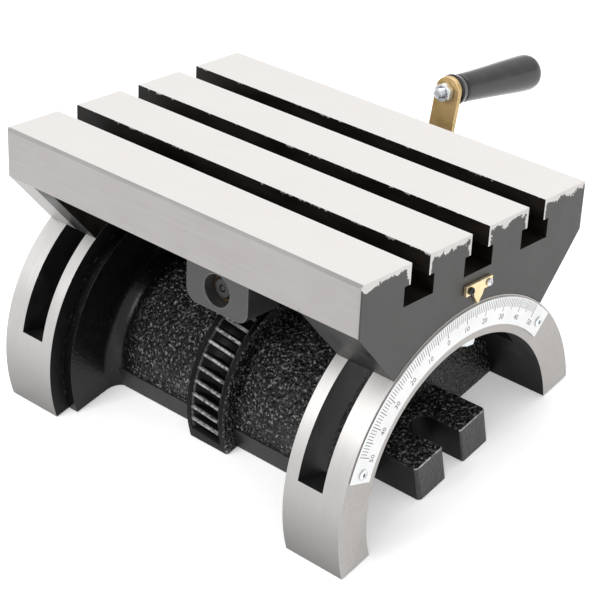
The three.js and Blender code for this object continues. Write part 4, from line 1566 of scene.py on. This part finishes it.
@dataclass
class Locks:
    """The four threaded studs with washers and nuts that hold the table down in the arch slots.

    Attributes:
        x: where the studs stand along the tilt axis.
        angle: how far they stand from straight up.
        stud: a stud's radius.
        low: the stud's inner end, as a radius from the tilt axis.
        high: the stud's outer end.
        seat: the radius of the washer's outer face.
        washer_radius: a washer's radius.
        washer: a washer's thickness.
        across: a nut's size across its flats.
        nut: a nut's thickness.
    """

    x: float = 105.25
    angle: float = 15.5
    stud: float = 5.0
    low: float = 58.5
    high: float = 113.0
    seat: float = 72.8
    washer_radius: float = 11.5
    washer: float = 2.5
    across: float = 17.0
    nut: float = 9.0

    def build(self, paint: Paintbox) -> None:
        """Builds and dresses all four locks.

        Args:
            paint: the finishes.
        """
        for side, side_name in ((-1.0, "left"), (1.0, "right")):
            for hand, hand_name in ((-1.0, "near"), (1.0, "far")):
                name = f"{side_name}_{hand_name}"
                turn = Matrix.Rotation(-math.radians(hand * self.angle), 4, "X")
                place = FRAMES.table @ Matrix.Translation((side * self.x, 0.0, 0.0)) @ turn
                self.one(name, place, paint)

    def one(self, name: str, place: Matrix, paint: Paintbox) -> None:
        """Builds one lock.

        Args:
            name: which corner it is at.
            place: the frame whose Z runs up the stud from the tilt axis.
            paint: the finishes.
        """
        foot, core_radius = self.low + 0.4, 4.2
        outline = [(foot, 0.0), (foot, 3.6), (self.low + 1.2, core_radius)]
        core = turned([*outline, (self.high, core_radius), (self.high, 0.0)])
        thread = screw_thread(self.stud, 1.5, self.low, self.seat + 12.0)
        steel, zinc = ("table", "shaft_steel"), ("table", "bright_zinc")
        stud = merged([core, thread])
        paint.dress(stud, f"stud_{name}", place, [paint.shaft_steel], steel, f"lock_stud_{name}")
        under = self.seat - self.washer
        washer = flat_ring(under, self.seat, self.stud + 0.4, self.washer_radius, 0.3)
        paint.dress(washer, f"washer_{name}", place, [paint.bright_zinc], zinc, f"lock_washer_{name}")
        nut = hexagon_nut(self.across, self.nut, self.stud + 0.3, 0.3)
        laid(nut, Matrix.Translation((0.0, 0.0, under - self.nut - 0.3)))
        home = (f"nut_{name}", "bright_zinc")
        paint.dress(nut, f"clamp_nut_{name}", place, [paint.bright_zinc], home, f"lock_nut_{name}")


# ---- drive -------------------------------------------------------------------------------------------


@dataclass
class Drive:
    """The worm bracket under the table, with its bushes and screws.

    Attributes:
        axis_height: the worm's axis over the tilt axis.
        front_bush: the near bush's start, end, outer radius and bore radius.
        rear_bush: the same for the bush on the crank's side.
    """

    axis_height: float = 73.0
    front_bush: tuple[float, float, float, float] = (-48.0, -31.0, 9.0, 6.08)
    rear_bush: tuple[float, float, float, float] = (31.0, 54.0, 11.2, 8.08)

    def bush(self, start: float, end: float, outer: float, inner: float) -> Shape:
        """Turns one bearing bush with chamfered rims.

        Args:
            start: where it starts along the shaft.
            end: where it stops.
            outer: its outer radius.
            inner: its bore's radius.

        Returns:
            The closed bush.
        """
        ring = [(start, inner + 0.6), (start, outer - 0.5), (start + 0.5, outer), (end - 0.5, outer)]
        ring += [(end, outer - 0.5), (end, inner + 0.6), (end - 0.6, inner), (start + 0.6, inner)]
        shape = turned(ring, steps=56, ring=True)
        return laid(shape, Matrix.Translation((0.0, 0.0, self.axis_height)) @ Lie.ALONG_Y.value)

    def build(self, paint: Paintbox) -> None:
        """Builds and dresses the bracket and its bushes, and gives the screws their finish.

        Args:
            paint: the finishes.
        """
        place = FRAMES.table
        bracket = soften(cast_copy("worm_bracket", place), 0.7, segments=2, clamp=False)
        grey, bronze, steel = ("table", "grey_paint"), ("table", "bronze"), ("table", "dark_steel")
        paint.dress(bracket, "bracket_body", place, [paint.grey_paint], grey, "worm_bracket")
        for name, size in (("front", self.front_bush), ("rear", self.rear_bush)):
            paint.dress(self.bush(*size), f"bush_{name}", place, [paint.bronze], bronze, f"{name}_bush")
        for number in range(1, 5):
            node = f"bracket_screw_{number}"
            screw = soften(cast_copy(node, place), 0.35, segments=2, clamp=False)
            paint.dress(screw, f"socket_screw_{number}", place, [paint.dark_steel], steel, node)


@dataclass
class Crank:
    """The worm shaft and everything that turns with it, out to the grip's spindle.

    Attributes:
        worm_pitch: the worm's pitch radius.
        lead: how far the thread climbs in one turn.
        addendum: the thread's height over the pitch line.
        dedendum: its depth under it.
        flank: the slope of the thread's flanks, in degrees.
        worm_half: half the threaded length.
        journal: the shaft's outline at its near end, as (distance along it, radius).
        tail: the shaft's outline from the worm to its threaded end.
        hub_face: where the arm's near face stands on the shaft.
        length: from the hub to the grip.
        width: the arm's width.
        thickness: the arm's thickness.
        flat: how far from the hub the arm stays square to the shaft.
        lean: how far it leans out from there, in degrees.
    """

    worm_pitch: float = 13.0
    lead: float = 7.54
    addendum: float = 2.16
    dedendum: float = 2.64
    flank: float = 20.0
    worm_half: float = 26.0
    journal: tuple[Point, ...] = (
        (-50.5, 0.0), (-50.5, 1.2), (-49.6, 2.2), (-50.5, 2.3), (-50.5, 5.2), (-49.7, 6.0),
    )
    tail: tuple[Point, ...] = (
        (120.2, 8.0), (120.5, 7.7), (120.5, 4.4), (132.2, 4.4), (133.0, 3.6), (133.0, 0.0),
    )
    hub_face: float = 120.8
    length: float = 67.0
    width: float = 17.0
    thickness: float = 3.0
    flat: float = 13.0
    lean: float = 5.7

    def shaft(self) -> Shape:
        """Turns the shaft and winds the worm's thread on it."""
        core = self.worm_pitch - self.dedendum
        ends = self.worm_half + 2.5
        outline = [*self.journal, (-ends, 6.0), (-ends, core - 0.5), (0.5 - ends, core)]
        outline += [(ends - 0.5, core), (ends, core - 0.5), (ends, 8.0), *self.tail]
        shape = turned(outline, steps=48)
        slope = math.tan(math.radians(self.flank))
        quarter = self.lead / 4.0
        crest = quarter - slope * self.addendum
        foot = quarter + slope * self.dedendum
        tip = self.worm_pitch + self.addendum
        half = [(core - 0.6, foot), (core, foot), (tip - 0.3, crest), (tip, crest - 0.3)]
        section = [(radius, -side) for radius, side in half] + half[::-1]
        turns = 2.0 * (self.worm_half + quarter) / self.lead
        thread = wound(section, self.lead, turns, 40, -self.lead * turns / 2.0)
        laid(thread, Matrix.Rotation(math.pi / 2.0 - math.pi * turns, 4, "Z"))
        for side in (-1.0, 1.0):
            outward = Vector((0.0, 0.0, side))
            cut_away(thread, outward * self.worm_half, outward)
        stud = screw_thread(5.0, 1.25, 120.5, 132.6)
        return merged([shape, thread, stud])

    def shaft_surface(self, centre: Vector, normal: Vector) -> int:
        """Picks the shaft's finish: 0 bright, 1 the near end in the front bush, darker as painted shade in the
        bore.
        """
        # Painted shade: the near end, sunk in the bracket's bore, gets dark steel.
        return 1 if centre.y < -self.worm_half else 0

    def arm(self) -> Shape:
        """Makes the bent strip with its round ends."""
        half = self.width / 2.0
        corners = [(-half, -half, half - 0.02), (half, -half, half - 0.02)]
        corners += [(half, self.length + half, half - 0.02), (-half, self.length + half, half - 0.02)]
        shape = plate(corners, self.thickness, rounding=14)
        for height in (self.flat - 2.0, self.flat, self.flat + 2.0):
            split_at(shape, Vector((0.0, height, 0.0)), Vector((0.0, 1.0, 0.0)))
        soften(shape, 0.45, segments=2)
        tangent = math.tan(math.radians(self.lean))
        for vert in shape.verts:
            past = max(0.0, vert.co.y - self.flat)
            near = max(0.0, 1.0 - abs(vert.co.y - self.flat) / 2.0)
            vert.co.z += tangent * (past + 0.5 * near)
        stand = Matrix.Translation((0.0, self.hub_face, 0.0)) @ Lie.ALONG_Y.value
        return laid(shape, stand)

    def spindle(self) -> Shape:
        """Turns the grip's spindle with its threaded end."""
        outline = [(-9.5, 0.0), (-9.5, 2.1), (-9.0, 2.6), (3.3, 2.6), (3.3, 4.02)]
        outline += [(73.5, 4.02), (73.5, 6.2), (76.2, 6.5), (77.2, 5.6), (77.2, 0.0)]
        return merged([turned(outline, steps=40), screw_thread(3.0, 1.0, -9.4, 1.0)])

    def build(self, paint: Paintbox) -> None:
        """Builds and dresses the crank.

        Args:
            paint: the finishes.
        """
        crank, grip = FRAMES.crank, FRAMES.grip
        bright, steel, dark = ("crank", "bright_zinc"), ("crank", "shaft_steel"), ("crank", "dark_steel")
        along = Lie.ALONG_Y.value
        shaft = laid(self.shaft(), Matrix.Rotation(-math.pi / 2.0, 4, "X"))
        metals = [paint.shaft_steel, paint.dark_steel]
        paint.dress(shaft, "worm_and_shaft", crank, metals, steel, "worm_shaft", chooser=self.shaft_surface)
        collar = laid(flat_ring(57.0, 66.0, 8.3, 14.0, 0.6, steps=56), along)
        paint.dress(collar, "shaft_collar", crank, [paint.dark_steel], dark, "thrust_collar")
        yellow = ("crank", "yellow_zinc")
        paint.dress(self.arm(), "bent_arm", crank, [paint.yellow_zinc], yellow, "crank_arm")
        outer = self.hub_face + self.thickness + 0.3
        washer = laid(flat_ring(outer, outer + 1.6, 5.3, 9.5, 0.3), along)
        paint.dress(washer, "arm_washer", crank, [paint.bright_zinc], bright, "hub_washer")
        nut = laid(hexagon_nut(16.0, 7.0, 5.3), Matrix.Translation((0.0, 0.0, outer + 1.9)))
        paint.dress(laid(nut, along), "arm_nut", crank, [paint.bright_zinc], bright, "hub_nut")
        nut = laid(hexagon_nut(10.0, 5.0, 3.3), Matrix.Translation((0.0, 0.0, -5.3)))
        paint.dress(nut, "spindle_nut", grip, [paint.bright_zinc], bright, "grip_nut")
        ring = [(3.7, 4.4), (3.7, 8.2), (4.9, 9.4), (8.7, 8.6), (8.7, 4.4)]
        collar = soften(turned(ring, steps=48, ring=True), 0.4)
        paint.dress(collar, "spindle_collar", grip, [paint.plastic], dark, "grip_collar")
        paint.dress(self.spindle(), "grip_pin", grip, [paint.bright_zinc], bright, "grip_spindle")


@dataclass
class Grip:
    """The tapered plastic grip that turns on its spindle.

    Attributes:
        start: where it starts along the spindle.
        length: its length.
        near: its radius at the arm.
        far: its radius at the far end.
        bore: the radius of its bore.
        recess: the radius of the recess for the spindle's head.
        lip: the rounding at the arm, as (distance from the start, distance under the near radius).
        swell: the taper, as (share of the length, distance over the near radius).
        dome: the rounding at the far end, as (distance from the end, distance under the far radius).
    """

    start: float = 9.4
    length: float = 72.0
    near: float = 8.4
    far: float = 10.9
    bore: float = 4.1
    recess: float = 6.8
    lip: tuple[Point, ...] = ((0.0, 1.8), (0.5, 0.9), (1.4, 0.2), (2.6, 0.0))
    swell: tuple[Point, ...] = ((0.16, 0.25), (0.32, 0.65), (0.48, 1.2), (0.64, 1.8), (0.78, 2.25))
    dome: tuple[Point, ...] = ((8.0, 0.0), (4.4, 0.1), (2.2, 0.6), (0.9, 1.5), (0.2, 2.7), (0.0, 3.6))

    def body(self) -> Shape:
        """Turns the grip."""
        end = self.start + self.length
        floor = end - 7.8
        outline = [(self.start, self.bore)]
        outline += [(self.start + along, self.near - inset) for along, inset in self.lip]
        outline += [(self.start + share * self.length, self.near + swell) for share, swell in self.swell]
        outline += [(end - along, self.far - inset) for along, inset in self.dome]
        outline += [(end, self.recess + 0.2), (end - 0.4, self.recess)]
        outline += [(floor, self.recess), (floor, self.bore)]
        return turned(outline, steps=72, ring=True)

    def build(self, paint: Paintbox) -> None:
        """Builds and dresses the grip.

        Args:
            paint: the finishes.
        """
        home = ("grip", "black_plastic")
        paint.dress(self.body(), "tapered_grip", FRAMES.grip, [paint.plastic], home, "grip")


# ---- studio ------------------------------------------------------------------------------------------


@dataclass
class Lamp:
    """One soft rectangular lamp.

    Attributes:
        name: what it is called.
        place: where it hangs, in metres.
        size: its width and height in metres.
        power: its power in watts.
        colour: its colour.
    """

    name: str
    place: Colour
    size: Point
    power: float
    colour: Colour = (1.0, 1.0, 1.0)

    def hang(self, target: Vector) -> None:
        """Hangs the lamp so that it faces a point.

        Args:
            target: the point it faces.
        """
        light = bpy.data.lights.new(self.name, "AREA")
        light.shape = "RECTANGLE"
        light.size, light.size_y = self.size
        light.energy = self.power
        light.color = self.colour
        holder = bpy.data.objects.new(self.name, light)
        holder.location = self.place
        holder.rotation_euler = (target - Vector(self.place)).to_track_quat("-Z", "Y").to_euler()
        bpy.context.scene.collection.objects.link(holder)


@dataclass
class Studio:
    """The pale floor, the soft light and the camera.

    Attributes:
        camera_place: where the camera stands, in metres.
        camera_turn: how it is turned, in degrees.
        lens: its focal length in millimetres.
        sensor: the width of its sensor in millimetres.
        sky: the strength of the pale surroundings.
        floor_glow: how far the floor lights itself.
        floor_white: how pale the floor is.
        floor_drop: how far the floor lies under the feet, in metres.
        lamps: the soft lamps.
        target: the point that the lamps face, in metres.
    """

    camera_place: Colour = (0.61935, -0.54288, 0.69005)
    camera_turn: Colour = (52.130, 6.974, 42.231)
    lens: float = 113.73
    sensor: float = 36.0
    sky: float = 0.95
    floor_glow: float = 0.3
    floor_white: float = 0.96
    floor_drop: float = 0.0004
    lamps: tuple[Lamp, ...] = (
        Lamp("key_softbox", (-0.5, -1.3, 1.5), (0.9, 0.9), 14.0),
        Lamp("far_softbox", (-0.2, 1.6, 1.4), (1.6, 0.9), 10.0),
    )
    target: Colour = (0.0, 0.0, 0.07)

    def floor(self) -> None:
        """Lays the floor."""
        shape = bmesh.new()
        bmesh.ops.create_grid(shape, x_segments=2, y_segments=2, size=6.0)
        mesh = bpy.data.meshes.new("studio_floor")
        shape.to_mesh(mesh)
        shape.free()
        material = bpy.data.materials.new("pale_floor")
        material.use_nodes = True
        shader = material.node_tree.nodes["Principled BSDF"]
        shader.inputs["Base Color"].default_value = (*(self.floor_white,) * 3, 1.0)
        shader.inputs["Emission Color"].default_value = WHITE
        shader.inputs["Emission Strength"].default_value = self.floor_glow
        shader.inputs["Roughness"].default_value = 0.9
        shader.inputs["Specular IOR Level"].default_value = 0.1
        mesh.materials.append(material)
        floor = bpy.data.objects.new("studio_floor", mesh)
        floor.location = (0.0, 0.0, -self.floor_drop)
        bpy.context.scene.collection.objects.link(floor)

    def light(self) -> None:
        """Sets the pale surroundings and hangs the lamps."""
        world = bpy.data.worlds.new("studio_sky")
        world.use_nodes = True
        background = world.node_tree.nodes["Background"]
        background.inputs["Color"].default_value = WHITE
        background.inputs["Strength"].default_value = self.sky
        bpy.context.scene.world = world
        for lamp in self.lamps:
            lamp.hang(Vector(self.target))

    def camera(self) -> None:
        """Stands the camera."""
        data = bpy.data.cameras.new("studio_camera")
        data.lens = self.lens
        data.sensor_width = self.sensor
        data.clip_start = 0.01
        data.clip_end = 50.0
        holder = bpy.data.objects.new("studio_camera", data)
        holder.location = self.camera_place
        holder.rotation_euler = Euler([math.radians(angle) for angle in self.camera_turn], "XYZ")
        bpy.context.scene.collection.objects.link(holder)
        bpy.context.scene.camera = holder

    def build(self) -> None:
        """Builds the whole studio."""
        self.floor()
        self.light()
        self.camera()
        bpy.context.scene.view_settings.view_transform = "Standard"


def main() -> None:
    """Builds the sub-assemblies in order and reports each one."""
    logging.basicConfig(level=logging.INFO, format="%(name)s: %(message)s")
    Studio().build()
    paint = Paintbox()
    for part in (Base(), DegreeScale(), Table(), Locks(), Drive(), Crank(), Grip()):
        part.build(paint)
        log.info("built %s", type(part).__name__)


if __name__ == "__main__":
    main()
